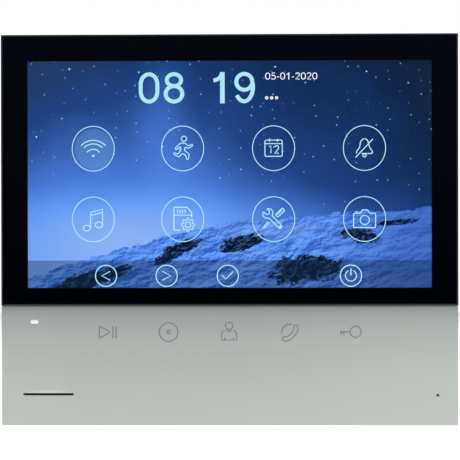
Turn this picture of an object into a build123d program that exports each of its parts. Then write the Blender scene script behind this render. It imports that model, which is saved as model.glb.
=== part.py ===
"""Video intercom monitor for a wall: a lit screen under black glass, five touch keys on a silver
panel below it, and a steel wall bracket that the body hangs on.

Frame: millimetres, +Z up, the room in front at -Y. The origin is the middle of the bracket's
screw pattern on the wall. Depths are counted from the wall towards the room, so a depth d is Y = -d.
"""
from build123d import *
import os

os.makedirs("parts", exist_ok=True)

# ------------------------------------------------------------------ driving dimensions
WIDTH = 174.0
HEIGHT = 149.0
DEPTH = 22.0                       # wall to the face of the glass
SCREEN_W, SCREEN_H = 154.2, 86.7   # lit area of a 7 inch wide panel
SCREEN_Z = 21.1                    # middle of the lit area above the body's middle
GLASS_BOTTOM = -28.9               # lower edge of the glass, where the key panel starts
LIFT = 7.0                         # travel that frees the body from the bracket's hooks
KEY_XS = [-46.3, -23.15, 0.0, 23.15, 46.3]
KEY_Z = -38.8
STATUS_X, STATUS_Z = -74.4, -35.0
SLIT_X, SLIT_Z, SLIT_W, SLIT_H = -69.1, -62.6, 19.3, 0.85
MIC_X, MIC_Z = 79.2, -62.9

# ------------------------------------------------------------------ layers, front to back
GLASS_T, TAPE_T, PRINT_T, SENSOR_T, PANEL_T = 1.8, 0.2, 0.1, 0.6, 1.2
GLASS_BACK = DEPTH - GLASS_T
SENSOR_FRONT = GLASS_BACK - PRINT_T
SENSOR_BACK = SENSOR_FRONT - SENSOR_T
DECK_FRONT = GLASS_BACK - TAPE_T
DECK_BACK = DECK_FRONT - 1.5
PANEL_FRONT = GLASS_BACK + PANEL_T
LCD_FRONT = SENSOR_BACK - 0.6      # behind the foam ring
LCD_BACK = 14.4
CHASSIS_FRONT, CHASSIS_BACK = 14.2, 13.6
BOARD_FRONT, BOARD_BACK = 12.6, 11.0
SPLIT_FRAME, SPLIT_COVER = 8.4, 8.0   # rear edge of the frame, front edge of the cover
SLOPE_START, COVER_BACK = 6.0, 0.3
RECESS_FLOOR, RECESS_INNER = 4.0, 5.8
BRACKET_T = 1.2

# ------------------------------------------------------------------ outlines
FRAME_W, FRAME_H, CORNER_R, WALL_T = 173.6, 148.6, 1.0, 2.0
GLASS_H = HEIGHT / 2 - GLASS_BOTTOM
GLASS_Z = (HEIGHT / 2 + GLASS_BOTTOM) / 2
LCD_W, LCD_H, LCD_Z = 163.2, 95.6, 21.6
LCD_BOTTOM = LCD_Z - LCD_H / 2
PANEL_H = HEIGHT / 2 + GLASS_BOTTOM - 0.2
PANEL_Z = -HEIGHT / 2 + PANEL_H / 2
SLOPE_INSET = 12.0
BACK_W, BACK_H, BACK_R = FRAME_W - 2 * SLOPE_INSET, FRAME_H - 2 * SLOPE_INSET, 5.0
BAY_W, BAY_H, BAY_WALL = 48.0, 40.0, 2.0
HOOK_XS, HOOK_ZS = (-42.0, 42.0), (12.0, -26.0)
HOOK_W, HOOK_RISE, HOOK_FRONT = 8.0, 7.2, 7.4
CASE_SCREWS = [(x, z) for x in (-80.5, 80.5) for z in (68.5, -22.0, -68.5)]
BOARD_SCREWS = [(-66, 52), (0, 52), (66, 52), (-66, -12), (66, -12)]
CHASSIS_TABS = [(x, z) for x in (-83.2, 83.2) for z in (52, -14)]
CARD_Z, CARD_L, CARD_W, CARD_T, CARD_DEPTH = 26.0, 15.0, 11.0, 0.7, 10.25
RESET_Z, RESET_DEPTH, RESET_R = 6.0, 9.7, 0.9
SPEAKER = (-67.5, -57.0)
LEAD_R = 0.5
SOCKET_Z, SOCKET_T = -20.6, 1.2    # flat-cable sockets along the board's lower edge
FLEX_DEPTH = BOARD_BACK - SOCKET_T / 2


def at_depth(depth):
    """Sketch plane this far in front of the wall: its x is +X, its y is +Z, its normal faces the room."""
    return Plane.XZ.offset(depth)


def push(sketch, back, front, mode):
    extrude(sketch.sketch, amount=front - back, mode=mode)


def slab(width, height, back, front, centre=(0, 0), radius=0, mode=Mode.ADD):
    """Flat block between two depths, centred at (x, z)."""
    with BuildSketch(at_depth(back)) as outline:
        with Locations(centre):
            if radius:
                RectangleRounded(width, height, radius)
            else:
                Rectangle(width, height)
    push(outline, back, front, mode)


def span(left, right, bottom, top, back, front, mode=Mode.ADD):
    """Flat block between two depths, given by its four sides."""
    slab(right - left, top - bottom, back, front, ((left + right) / 2, (bottom + top) / 2), mode=mode)


def band(outer, inner, back, front, radius=0.6):
    """Frame-shaped layer between two depths; outer and inner are (width, height, centre z)."""
    with BuildSketch(at_depth(back)) as outline:
        with Locations((0, outer[2])):
            RectangleRounded(outer[0], outer[1], radius)
        with Locations((0, inner[2])):
            RectangleRounded(inner[0], inner[1], radius, mode=Mode.SUBTRACT)
    push(outline, back, front, Mode.ADD)


def disc(radius, back, front, centre=(0, 0), mode=Mode.ADD):
    """Round block between two depths, centred at (x, z)."""
    with BuildSketch(at_depth(back)) as outline:
        with Locations(centre):
            Circle(radius)
    push(outline, back, front, mode)


def stadium(length, width, back, front, centre=(0, 0), rotation=0, mode=Mode.ADD):
    """Round-ended block between two depths, centred at (x, z)."""
    with BuildSketch(at_depth(back)) as outline:
        with Locations(centre):
            SlotOverall(length, width, rotation=rotation)
    push(outline, back, front, mode)


def tapered(shapes):
    """Loft through (width, height, radius, depth) rectangles."""
    with BuildSketch(at_depth(shapes[0][3])) as first:
        RectangleRounded(*shapes[0][:3])
    with BuildSketch(at_depth(shapes[1][3])) as second:
        RectangleRounded(*shapes[1][:3])
    loft([first.sketch.face(), second.sketch.face()])


def wire(points, radius, bend):
    """Round lead along (x, depth, z) points, its corners rounded to the bend."""
    with BuildLine() as route:
        FilletPolyline([(x, -depth, z) for x, depth, z in points], radius=bend)
    with BuildSketch(Plane(origin=route.line @ 0, z_dir=route.line % 0)) as section:
        Circle(radius)
    sweep(section.sketch, path=route.line)


def ribbon(points, x, width, thickness, bends):
    """Flat cable of this width at x, along (depth, z) points."""
    with BuildLine() as route:
        FilletPolyline([(x, -depth, z) for depth, z in points], radius=bends)
    with BuildSketch(Plane(origin=route.line @ 0, x_dir=(1, 0, 0), z_dir=route.line % 0)) as section:
        Rectangle(width, thickness)
    sweep(section.sketch, path=route.line)


# ================================================================== wall bracket
BRACKET_W, BRACKET_H, BRACKET_R = 110.0, 84.0, 4.0
WINDOW_H = 42.0
WALL_HOLE_R, WALL_HOLE_X, WALL_HOLE_Z = 2.25, 46.0, 35.0
BOX_HOLE_R, BOX_HOLE_X, BOX_SLOT_L = 2.1, 30.0, 7.0
PUNCH_H = HOOK_FRONT - BRACKET_T + HOOK_RISE

with BuildPart() as wall_bracket:
    slab(BRACKET_W, BRACKET_H, 0, BRACKET_T, radius=BRACKET_R)
    slab(BAY_W, WINDOW_H, 0, BRACKET_T, radius=3, mode=Mode.SUBTRACT)
    for x in (-WALL_HOLE_X, WALL_HOLE_X):
        for z in (-WALL_HOLE_Z, WALL_HOLE_Z):
            disc(WALL_HOLE_R, 0, BRACKET_T, (x, z), Mode.SUBTRACT)
    for x in (-BOX_HOLE_X, BOX_HOLE_X):
        stadium(BOX_SLOT_L, 2 * BOX_HOLE_R, 0, BRACKET_T, (x, 0), mode=Mode.SUBTRACT)
    for x in HOOK_XS:
        for z in HOOK_ZS:
            punch_z = z + BRACKET_T + PUNCH_H / 2
            slab(HOOK_W + 2, PUNCH_H, 0, BRACKET_T, (x, punch_z), 0.8, Mode.SUBTRACT)
            with BuildSketch(Plane.YZ.offset(x)) as profile:
                with BuildLine():
                    Polyline(
                        (-BRACKET_T / 2, z),
                        (-HOOK_FRONT, z),
                        (-HOOK_FRONT, z + HOOK_RISE),
                        (-HOOK_FRONT + BRACKET_T, z + HOOK_RISE),
                        (-HOOK_FRONT + BRACKET_T, z + BRACKET_T),
                        (-BRACKET_T / 2, z + BRACKET_T),
                        close=True,
                    )
                make_face()
                outer_corner = profile.vertices().sort_by(Axis.Y)[:2].sort_by(Axis.X)[0]
                fillet(outer_corner, BRACKET_T)
            extrude(profile.sketch, amount=HOOK_W / 2, both=True)
wall_bracket.part.label = "wall_bracket"
export_step(wall_bracket.part, "parts/wall_bracket.step")

# ================================================================== glass and touch layers
with BuildPart() as cover_glass:
    slab(WIDTH, GLASS_H, GLASS_BACK, DEPTH, (0, GLASS_Z), 0.6)
    chamfer(cover_glass.faces().sort_by(Axis.Y)[0].edges(), 0.25)
cover_glass.part.label = "cover_glass"
export_step(cover_glass.part, "parts/cover_glass.step")

with BuildPart() as border_print:
    band((WIDTH - 0.8, GLASS_H - 0.8, GLASS_Z), (SCREEN_W + 0.4, SCREEN_H + 0.4, SCREEN_Z),
         SENSOR_FRONT, GLASS_BACK)
border_print.part.label = "border_print"
export_step(border_print.part, "parts/border_print.step")

with BuildPart() as glass_tape:
    band((WIDTH - 1.6, GLASS_H - 1.6, GLASS_Z), (LCD_W + 1.2, LCD_H + 1.4, LCD_Z),
         DECK_FRONT, SENSOR_FRONT)
glass_tape.part.label = "glass_tape"
export_step(glass_tape.part, "parts/glass_tape.step")

with BuildPart() as touch_sensor:
    slab(LCD_W - 0.6, LCD_H - 0.6, SENSOR_BACK, SENSOR_FRONT, (0, LCD_Z))
touch_sensor.part.label = "touch_sensor"
export_step(touch_sensor.part, "parts/touch_sensor.step")

with BuildPart() as screen_gasket:
    band((LCD_W - 0.6, LCD_H - 0.6, LCD_Z), (SCREEN_W + 1.2, SCREEN_H + 1.2, SCREEN_Z),
         LCD_FRONT, SENSOR_BACK)
screen_gasket.part.label = "screen_gasket"
export_step(screen_gasket.part, "parts/screen_gasket.step")

# ================================================================== screen module
SHEET_T = 0.4                      # pressed steel of the module's frame
LIP_T = 0.3
TRAY_T = 0.5
CELL_T = 1.1
CELL_FRONT = LCD_FRONT - LIP_T - 0.05
CELL_BACK = CELL_FRONT - CELL_T
SHEETS_BACK = CELL_BACK - 0.6
GUIDE_FRONT, GUIDE_BACK = SHEETS_BACK - 0.05, LCD_BACK + TRAY_T + 0.1
INNER_W, INNER_H = LCD_W - 2 * SHEET_T - 0.6, LCD_H - 2 * SHEET_T - 0.6
INNER_BOTTOM, INNER_TOP = LCD_Z - INNER_H / 2, LCD_Z + INNER_H / 2
STRIP_H = 3.0
LAMP_COUNT = 24

with BuildPart() as screen_frame:
    slab(LCD_W, LCD_H, LCD_BACK + TRAY_T, LCD_FRONT, (0, LCD_Z), 0.5)
    slab(LCD_W - 2 * SHEET_T, LCD_H - 2 * SHEET_T, LCD_BACK + TRAY_T, LCD_FRONT - LIP_T, (0, LCD_Z),
         mode=Mode.SUBTRACT)
    slab(SCREEN_W + 0.8, SCREEN_H + 0.8, LCD_FRONT - 1, LCD_FRONT, (0, SCREEN_Z), mode=Mode.SUBTRACT)
screen_frame.part.label = "screen_frame"
export_step(screen_frame.part, "parts/screen_frame.step")

with BuildPart() as screen_cell:
    slab(INNER_W, INNER_H, CELL_BACK, CELL_FRONT, (0, LCD_Z))
screen_cell.part.label = "screen_cell"
export_step(screen_cell.part, "parts/screen_cell.step")

with BuildPart() as diffuser_sheets:
    for layer in range(3):
        back = SHEETS_BACK + 0.2 * layer
        slab(INNER_W - 0.4, INNER_H - 0.4, back, back + 0.18, (0, LCD_Z))
diffuser_sheets.part.label = "diffuser_sheets"
export_step(diffuser_sheets.part, "parts/diffuser_sheets.step")

with BuildPart() as light_guide:
    span(-INNER_W / 2, INNER_W / 2, INNER_BOTTOM + STRIP_H, INNER_TOP, GUIDE_BACK, GUIDE_FRONT)
light_guide.part.label = "light_guide"
export_step(light_guide.part, "parts/light_guide.step")

with BuildPart() as backlight_strip:
    span(-INNER_W / 2, INNER_W / 2, INNER_BOTTOM, INNER_BOTTOM + STRIP_H - 0.2,
         GUIDE_BACK, GUIDE_BACK + 0.5)
    lamp_z = INNER_BOTTOM + STRIP_H - 0.2 - 0.6
    for lamp in range(LAMP_COUNT):
        x = (lamp + 0.5) * INNER_W / LAMP_COUNT - INNER_W / 2
        slab(3.0, 1.2, GUIDE_BACK + 0.5, GUIDE_BACK + 1.3, (x, lamp_z))
backlight_strip.part.label = "backlight_strip"
export_step(backlight_strip.part, "parts/backlight_strip.step")

with BuildPart() as screen_tray:
    slab(LCD_W, LCD_H, LCD_BACK, LCD_BACK + TRAY_T, (0, LCD_Z), 0.5)
screen_tray.part.label = "screen_tray"
export_step(screen_tray.part, "parts/screen_tray.step")

# ================================================================== front frame
KEY_WINDOW = 11.6
BOSS_R, BOSS_HOLE_R, BOSS_BACK = 3.2, 1.3, 9.6
LEDGE_W = 2.9
SPEAKER_PORT_H = 1.6
WALL_X = FRAME_W / 2 - WALL_T
WALL_Z = FRAME_H / 2 - WALL_T
CARD_SLOT_W, CARD_SLOT_T = CARD_W + 1.2, 1.4

with BuildPart() as front_frame:
    slab(FRAME_W, FRAME_H, SPLIT_FRAME, DECK_FRONT, radius=CORNER_R)
    slab(2 * WALL_X, 2 * WALL_Z, SPLIT_FRAME, DECK_BACK, radius=CORNER_R, mode=Mode.SUBTRACT)
    slab(LCD_W + 0.8, LCD_H + 0.8, DECK_BACK, DECK_FRONT, (0, LCD_Z), mode=Mode.SUBTRACT)
    for x in KEY_XS:
        slab(KEY_WINDOW, KEY_WINDOW, DECK_BACK, DECK_FRONT, (x, KEY_Z), 1.0, Mode.SUBTRACT)
    stadium(3.3, 1.8, DECK_BACK, DECK_FRONT, (STATUS_X, STATUS_Z), mode=Mode.SUBTRACT)
    stadium(SLIT_W, SPEAKER_PORT_H, DECK_BACK, DECK_FRONT, (SLIT_X, SLIT_Z), mode=Mode.SUBTRACT)
    disc(0.9, DECK_BACK, DECK_FRONT, (MIC_X, MIC_Z), Mode.SUBTRACT)
    # Screw bosses, each joined to the nearest walls by a web.
    for x, z in CASE_SCREWS:
        side = 1 if x > 0 else -1
        disc(BOSS_R, BOSS_BACK, CHASSIS_FRONT, (x, z))
        span(min(x, side * (WALL_X + 0.5)), max(x, side * (WALL_X + 0.5)), z - BOSS_R, z + BOSS_R,
             BOSS_BACK, CHASSIS_FRONT)
        if abs(z) > 60:
            up = 1 if z > 0 else -1
            span(x - BOSS_R, x + BOSS_R, min(z, up * (WALL_Z + 0.5)), max(z, up * (WALL_Z + 0.5)),
                 BOSS_BACK, CHASSIS_FRONT)
        disc(BOSS_HOLE_R, BOSS_BACK, CHASSIS_FRONT, (x, z), Mode.SUBTRACT)
    # Ledges beside the screen that the chassis plate's tabs are screwed to.
    for x, z in CHASSIS_TABS:
        side = 1 if x > 0 else -1
        inner, outer = side * (WALL_X - LEDGE_W), side * (WALL_X + 0.5)
        span(min(inner, outer), max(inner, outer), z - 4, z + 4, CHASSIS_FRONT, DECK_BACK)
        disc(0.8, CHASSIS_FRONT, CHASSIS_FRONT + 3.5, (x, z), Mode.SUBTRACT)
    # Slot and thumb notch for the memory card, and the reset hole, in the left wall.
    with Locations((-FRAME_W / 2, -CARD_DEPTH, CARD_Z)):
        Box(2 * WALL_T + 1, CARD_SLOT_T, CARD_SLOT_W, mode=Mode.SUBTRACT)
    with Locations((-FRAME_W / 2 - 3.2, -CARD_DEPTH, CARD_Z)):
        Cylinder(4.0, 3.0, rotation=(90, 0, 0), mode=Mode.SUBTRACT)
    with Locations((-FRAME_W / 2, -RESET_DEPTH, RESET_Z)):
        Cylinder(RESET_R + 0.25, 2 * WALL_T + 1, rotation=(0, 90, 0), mode=Mode.SUBTRACT)
front_frame.part.label = "front_frame"
export_step(front_frame.part, "parts/front_frame.step")

# ================================================================== key panel and what is behind it
with BuildPart() as key_panel:
    slab(WIDTH, PANEL_H, GLASS_BACK, PANEL_FRONT, (0, PANEL_Z), 0.6)
    chamfer(key_panel.faces().sort_by(Axis.Y)[0].edges(), 0.2)
    stadium(SLIT_W, SLIT_H, GLASS_BACK, PANEL_FRONT, (SLIT_X, SLIT_Z), mode=Mode.SUBTRACT)
    disc(0.5, GLASS_BACK, PANEL_FRONT, (MIC_X, MIC_Z), Mode.SUBTRACT)
    stadium(3.0, 1.5, GLASS_BACK, PANEL_FRONT, (STATUS_X, STATUS_Z), mode=Mode.SUBTRACT)
key_panel.part.label = "key_panel"
export_step(key_panel.part, "parts/key_panel.step")

with BuildPart() as panel_tape:
    slab(WIDTH - 1.6, PANEL_H - 1.6, DECK_FRONT, GLASS_BACK, (0, PANEL_Z), 0.6)
    for x in KEY_XS:
        slab(KEY_WINDOW, KEY_WINDOW, DECK_FRONT, GLASS_BACK, (x, KEY_Z), 1.0, Mode.SUBTRACT)
    stadium(3.3, 1.8, DECK_FRONT, GLASS_BACK, (STATUS_X, STATUS_Z), mode=Mode.SUBTRACT)
    stadium(SLIT_W, SPEAKER_PORT_H, DECK_FRONT, GLASS_BACK, (SLIT_X, SLIT_Z), mode=Mode.SUBTRACT)
    disc(0.9, DECK_FRONT, GLASS_BACK, (MIC_X, MIC_Z), Mode.SUBTRACT)
panel_tape.part.label = "panel_tape"
export_step(panel_tape.part, "parts/panel_tape.step")

KEY_BOARD_FRONT, KEY_BOARD_BACK = DECK_BACK - 0.3, DECK_BACK - 1.3
GUIDE_SIZE = KEY_WINDOW - 0.6

with BuildPart() as key_light_guides:
    for x in KEY_XS:
        slab(GUIDE_SIZE, GUIDE_SIZE, KEY_BOARD_FRONT + 0.05, GLASS_BACK - 0.1, (x, KEY_Z), 0.8)
        slab(4.4, 2.6, KEY_BOARD_FRONT + 0.05, KEY_BOARD_FRONT + 0.95, (x, KEY_Z), mode=Mode.SUBTRACT)
key_light_guides.part.label = "key_light_guides"
export_step(key_light_guides.part, "parts/key_light_guides.step")

KEY_BOARD_TOP, KEY_BOARD_BOTTOM, ARM_BOTTOM = -30.8, -46.8, -39.5
KEY_SOCKET_X, KEY_SOCKET_Z = 44.0, -42.5

with BuildPart() as key_board:
    span(-56, 56, KEY_BOARD_BOTTOM, KEY_BOARD_TOP, KEY_BOARD_BACK, KEY_BOARD_FRONT)
    span(-80, -55, ARM_BOTTOM, KEY_BOARD_TOP, KEY_BOARD_BACK, KEY_BOARD_FRONT)
    slab(12, 3.4, KEY_BOARD_BACK - 1.0, KEY_BOARD_BACK, (KEY_SOCKET_X, KEY_SOCKET_Z))
    for x in (-52.5, 0, 52.5):
        disc(0.9, KEY_BOARD_BACK, KEY_BOARD_FRONT, (x, -45.2 if x else -33.0), Mode.SUBTRACT)
key_board.part.label = "key_board"
export_step(key_board.part, "parts/key_board.step")

with BuildPart() as key_lamps:
    for x in KEY_XS:
        slab(3.2, 1.4, KEY_BOARD_FRONT, KEY_BOARD_FRONT + 0.7, (x, KEY_Z))
    slab(2.0, 1.2, KEY_BOARD_FRONT, KEY_BOARD_FRONT + 0.15, (STATUS_X, STATUS_Z))
key_lamps.part.label = "key_lamps"
export_step(key_lamps.part, "parts/key_lamps.step")

with BuildPart() as status_light_pipe:
    stadium(2.9, 1.4, KEY_BOARD_FRONT + 0.2, PANEL_FRONT, (STATUS_X, STATUS_Z))
status_light_pipe.part.label = "status_light_pipe"
export_step(status_light_pipe.part, "parts/status_light_pipe.step")

# ================================================================== speaker and microphone
FLANGE_R, CONE_R, MAGNET_R = 15.0, 13.4, 9.0
FLANGE_BACK = DECK_BACK - 1.8
BASKET_BACK = 13.6
MAGNET_BACK = 11.4
MESH_T = 0.15
TERMINAL = (-58.6, -49.6)

with BuildPart() as slit_mesh:
    stadium(SLIT_W + 2.4, 3.4, DECK_BACK - MESH_T, DECK_BACK, (SLIT_X, SLIT_Z))
slit_mesh.part.label = "slit_mesh"
export_step(slit_mesh.part, "parts/slit_mesh.step")

with BuildPart() as speaker_gasket:
    disc(FLANGE_R, DECK_BACK - 1.0, DECK_BACK - MESH_T, SPEAKER)
    disc(CONE_R + 0.1, DECK_BACK - 1.0, DECK_BACK - MESH_T, SPEAKER, Mode.SUBTRACT)
speaker_gasket.part.label = "speaker_gasket"
export_step(speaker_gasket.part, "parts/speaker_gasket.step")

with BuildPart() as speaker_basket:
    disc(FLANGE_R, FLANGE_BACK, DECK_BACK - 1.0, SPEAKER)
    with BuildSketch(at_depth(FLANGE_BACK)) as wide:
        with Locations(SPEAKER):
            Circle(FLANGE_R - 0.8)
    with BuildSketch(at_depth(BASKET_BACK)) as narrow:
        with Locations(SPEAKER):
            Circle(MAGNET_R + 0.6)
    loft([wide.sketch.face(), narrow.sketch.face()])
    with BuildSketch(at_depth(DECK_BACK - 1.0)) as mouth:
        with Locations(SPEAKER):
            Circle(CONE_R - 1.0)
    with BuildSketch(at_depth(BASKET_BACK + 0.6)) as throat:
        with Locations(SPEAKER):
            Circle(MAGNET_R - 0.6)
    loft([mouth.sketch.face(), throat.sketch.face()], mode=Mode.SUBTRACT)
    slab(5, 3, BASKET_BACK + 0.6, BASKET_BACK + 1.8, TERMINAL)
speaker_basket.part.label = "speaker_basket"
export_step(speaker_basket.part, "parts/speaker_basket.step")

with BuildPart() as speaker_cone:
    with BuildSketch(Plane.XY):
        with BuildLine():
            Polyline((0, 16.9), (3.6, 16.2), (4.2, 15.4), (10.2, 17.1), (10.8, 17.6), (11.5, 17.85),
                     (12.2, 17.7), (13.3, 17.7), (13.3, 17.5), (12.1, 17.5), (11.5, 17.65),
                     (10.9, 17.4), (10.3, 16.9), (4.1, 15.1), (3.4, 15.9), (0, 16.6), close=True)
        make_face()
    revolve(axis=Axis.Y)
speaker_cone.part = Pos(SPEAKER[0], 0, SPEAKER[1]) * (Rot(180, 0, 0) * speaker_cone.part)
speaker_cone.part.label = "speaker_cone"
export_step(speaker_cone.part, "parts/speaker_cone.step")

with BuildPart() as speaker_magnet:
    disc(MAGNET_R, MAGNET_BACK, BASKET_BACK, SPEAKER)
    chamfer(speaker_magnet.faces().sort_by(Axis.Y)[-1].edges(), 0.5)
speaker_magnet.part.label = "speaker_magnet"
export_step(speaker_magnet.part, "parts/speaker_magnet.step")

MIC_BACK = DECK_BACK - 3.6
with BuildPart() as microphone_boot:
    disc(4.0, MIC_BACK, DECK_BACK, (MIC_X, MIC_Z))
    disc(3.0, MIC_BACK, DECK_BACK - 0.8, (MIC_X, MIC_Z), Mode.SUBTRACT)
    disc(0.9, MIC_BACK, DECK_BACK, (MIC_X, MIC_Z), Mode.SUBTRACT)
microphone_boot.part.label = "microphone_boot"
export_step(microphone_boot.part, "parts/microphone_boot.step")

with BuildPart() as microphone:
    disc(2.95, DECK_BACK - 3.0, DECK_BACK - 0.85, (MIC_X, MIC_Z))
    disc(0.6, DECK_BACK - 1.1, DECK_BACK - 0.85, (MIC_X, MIC_Z), Mode.SUBTRACT)
microphone.part.label = "microphone"
export_step(microphone.part, "parts/microphone.step")

# ================================================================== chassis plate and main board
VENT_HOLE_R = 8.0
with BuildPart() as chassis_plate:
    span(-76, 76, -22, 66, CHASSIS_BACK, CHASSIS_FRONT)
    for x, z in CHASSIS_TABS:
        side = 1 if x > 0 else -1
        tip = side * (WALL_X - 0.3)
        span(min(side * 75, tip), max(side * 75, tip), z - 3.6, z + 3.6, CHASSIS_BACK, CHASSIS_FRONT)
        disc(0.85, CHASSIS_BACK, CHASSIS_FRONT, (x, z), Mode.SUBTRACT)
    for x, z in BOARD_SCREWS:
        disc(2.6, BOARD_FRONT, CHASSIS_BACK, (x, z))
        disc(1.0, BOARD_FRONT, CHASSIS_FRONT, (x, z), Mode.SUBTRACT)
    for x in (-40, 40):
        for z in (-4, 40):
            disc(VENT_HOLE_R, CHASSIS_BACK, CHASSIS_FRONT, (x, z), Mode.SUBTRACT)
chassis_plate.part.label = "chassis_plate"
export_step(chassis_plate.part, "parts/chassis_plate.step")

BOARD_LEFT, BOARD_RIGHT, BOARD_BOTTOM, BOARD_TOP = -72.0, 72.0, -25.0, 58.0
with BuildPart() as main_board:
    span(BOARD_LEFT, BOARD_RIGHT, BOARD_BOTTOM, BOARD_TOP, BOARD_BACK, BOARD_FRONT)
    span(-83, BOARD_LEFT + 1, 0, 40, BOARD_BACK, BOARD_FRONT)
    for x, z in BOARD_SCREWS:
        disc(1.3, BOARD_BACK, BOARD_FRONT, (x, z), Mode.SUBTRACT)
main_board.part.label = "main_board"
export_step(main_board.part, "parts/main_board.step")

CHIP_T = 1.4
with BuildPart() as processor:
    slab(15, 15, BOARD_BACK - CHIP_T, BOARD_BACK, (-14, 38), 0.4)
processor.part.label = "processor"
export_step(processor.part, "parts/processor.step")

with BuildPart() as heat_spreader:
    slab(24, 22, BOARD_BACK - CHIP_T - 1.0, BOARD_BACK - CHIP_T, (-14, 38), 0.5)
    for fin in range(8):
        slab(24, 0.9, BOARD_BACK - CHIP_T - 3.0, BOARD_BACK - CHIP_T - 1.0, (-14, 28.2 + 2.8 * fin))
heat_spreader.part.label = "heat_spreader"
export_step(heat_spreader.part, "parts/heat_spreader.step")

with BuildPart() as memory_chips:
    for x in (10, 22):
        slab(8, 13, BOARD_BACK - 1.1, BOARD_BACK, (x, 38), 0.3)
    slab(6, 5, BOARD_BACK - 1.6, BOARD_BACK, (-34, 30), 0.3)
memory_chips.part.label = "memory_chips"
export_step(memory_chips.part, "parts/memory_chips.step")

with BuildPart() as power_coils:
    for z in (8, -1, -10):
        slab(7, 7, BOARD_BACK - 3.8, BOARD_BACK, (55, z), 1.2)
power_coils.part.label = "power_coils"
export_step(power_coils.part, "parts/power_coils.step")

with BuildPart() as capacitors:
    for z in (34, 25, 16):
        slab(6.6, 6.6, BOARD_BACK - 0.6, BOARD_BACK, (66, z), 0.6)
        disc(3.1, BOARD_BACK - 5.8, BOARD_BACK - 0.6, (66, z))
capacitors.part.label = "capacitors"
export_step(capacitors.part, "parts/capacitors.step")

WIFI = (52.0, 44.0)
WIFI_BACK = BOARD_BACK - 3.0
with BuildPart() as wifi_module:
    slab(20, 15, BOARD_BACK - 0.8, BOARD_BACK, WIFI)
    slab(17, 12, WIFI_BACK, BOARD_BACK - 0.8, WIFI, 0.6)
wifi_module.part.label = "wifi_module"
export_step(wifi_module.part, "parts/wifi_module.step")

AERIAL_X, AERIAL_BOTTOM = 38.0, WALL_Z - 0.9
with BuildPart() as aerial_board:
    span(AERIAL_X - 18, AERIAL_X + 18, AERIAL_BOTTOM, WALL_Z - 0.2, 9.8, 13.8)
aerial_board.part.label = "aerial_board"
export_step(aerial_board.part, "parts/aerial_board.step")

with BuildPart() as aerial_cable:
    wire([(50, 8.6, 51.5), (50, 8.6, 59), (44, 10.4, 65), (AERIAL_X, 11.8, 67.2),
          (AERIAL_X, 11.8, AERIAL_BOTTOM)], LEAD_R, 1.6)
aerial_cable.part.label = "aerial_cable"
export_step(aerial_cable.part, "parts/aerial_cable.step")

CELL = (37.0, 31.0)
with BuildPart() as backup_cell:
    disc(6.2, BOARD_BACK - 3.0, BOARD_BACK - 0.8, CELL)
backup_cell.part.label = "backup_cell"
export_step(backup_cell.part, "parts/backup_cell.step")

with BuildPart() as cell_clip:
    slab(16, 9, BOARD_BACK - 0.8, BOARD_BACK, CELL, 0.5)
    for side in (-1, 1):
        slab(1.0, 6, BOARD_BACK - 3.4, BOARD_BACK - 0.8, (CELL[0] + side * 7.2, CELL[1]))
cell_clip.part.label = "cell_clip"
export_step(cell_clip.part, "parts/cell_clip.step")

# ================================================================== memory card, its socket, and reset
CARD_LEFT = -FRAME_W / 2 + 0.2
PUSH_TRAVEL = 0.6
with BuildPart() as memory_card:
    with BuildSketch(Plane.XZ.offset(CARD_DEPTH - CARD_T / 2)) as outline:
        with Locations((CARD_LEFT + CARD_L / 2, CARD_Z)):
            RectangleRounded(CARD_L, CARD_W, 0.6)
    extrude(outline.sketch, amount=CARD_T)
    # Thumb rib along the outer edge.
    slab(0.8, CARD_W - 1.4, CARD_DEPTH - CARD_T / 2 - 0.2, CARD_DEPTH, (CARD_LEFT + 0.8, CARD_Z))
memory_card.part.label = "memory_card"
export_step(memory_card.part, "parts/memory_card.step")

SOCKET_LEFT, SOCKET_RIGHT = -84.4, -69.6
with BuildPart() as card_socket:
    span(SOCKET_LEFT, SOCKET_RIGHT, CARD_Z - 7, CARD_Z + 7, BOARD_BACK - 1.9, BOARD_BACK)
    span(SOCKET_LEFT, CARD_LEFT + CARD_L + PUSH_TRAVEL + 0.3, CARD_Z - CARD_W / 2 - 0.15,
         CARD_Z + CARD_W / 2 + 0.15, CARD_DEPTH - 0.6, CARD_DEPTH + 0.5, Mode.SUBTRACT)
card_socket.part.label = "card_socket"
export_step(card_socket.part, "parts/card_socket.step")

SWITCH_LEFT, SWITCH_RIGHT, SWITCH_BORE = -82.9, -78.9, 2.4
RESET_TIP = -FRAME_W / 2 + 0.9
RESET_TRAVEL = 0.4
RESET_TAIL = SWITCH_LEFT + SWITCH_BORE - RESET_TRAVEL - 0.1
with BuildPart() as reset_switch:
    span(SWITCH_LEFT, SWITCH_RIGHT, RESET_Z - 3, RESET_Z + 3, BOARD_BACK - 3.0, BOARD_BACK)
    with Locations((SWITCH_LEFT + SWITCH_BORE / 2, -RESET_DEPTH, RESET_Z)):
        Cylinder(RESET_R + 0.05, SWITCH_BORE, rotation=(0, 90, 0), mode=Mode.SUBTRACT)
reset_switch.part.label = "reset_switch"
export_step(reset_switch.part, "parts/reset_switch.step")

with BuildPart() as reset_button:
    with Locations(((RESET_TIP + RESET_TAIL) / 2, -RESET_DEPTH, RESET_Z)):
        Cylinder(RESET_R, RESET_TAIL - RESET_TIP, rotation=(0, 90, 0))
    fillet(reset_button.edges().sort_by(Axis.X)[0], 0.3)
reset_button.part.label = "reset_button"
export_step(reset_button.part, "parts/reset_button.step")

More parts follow.
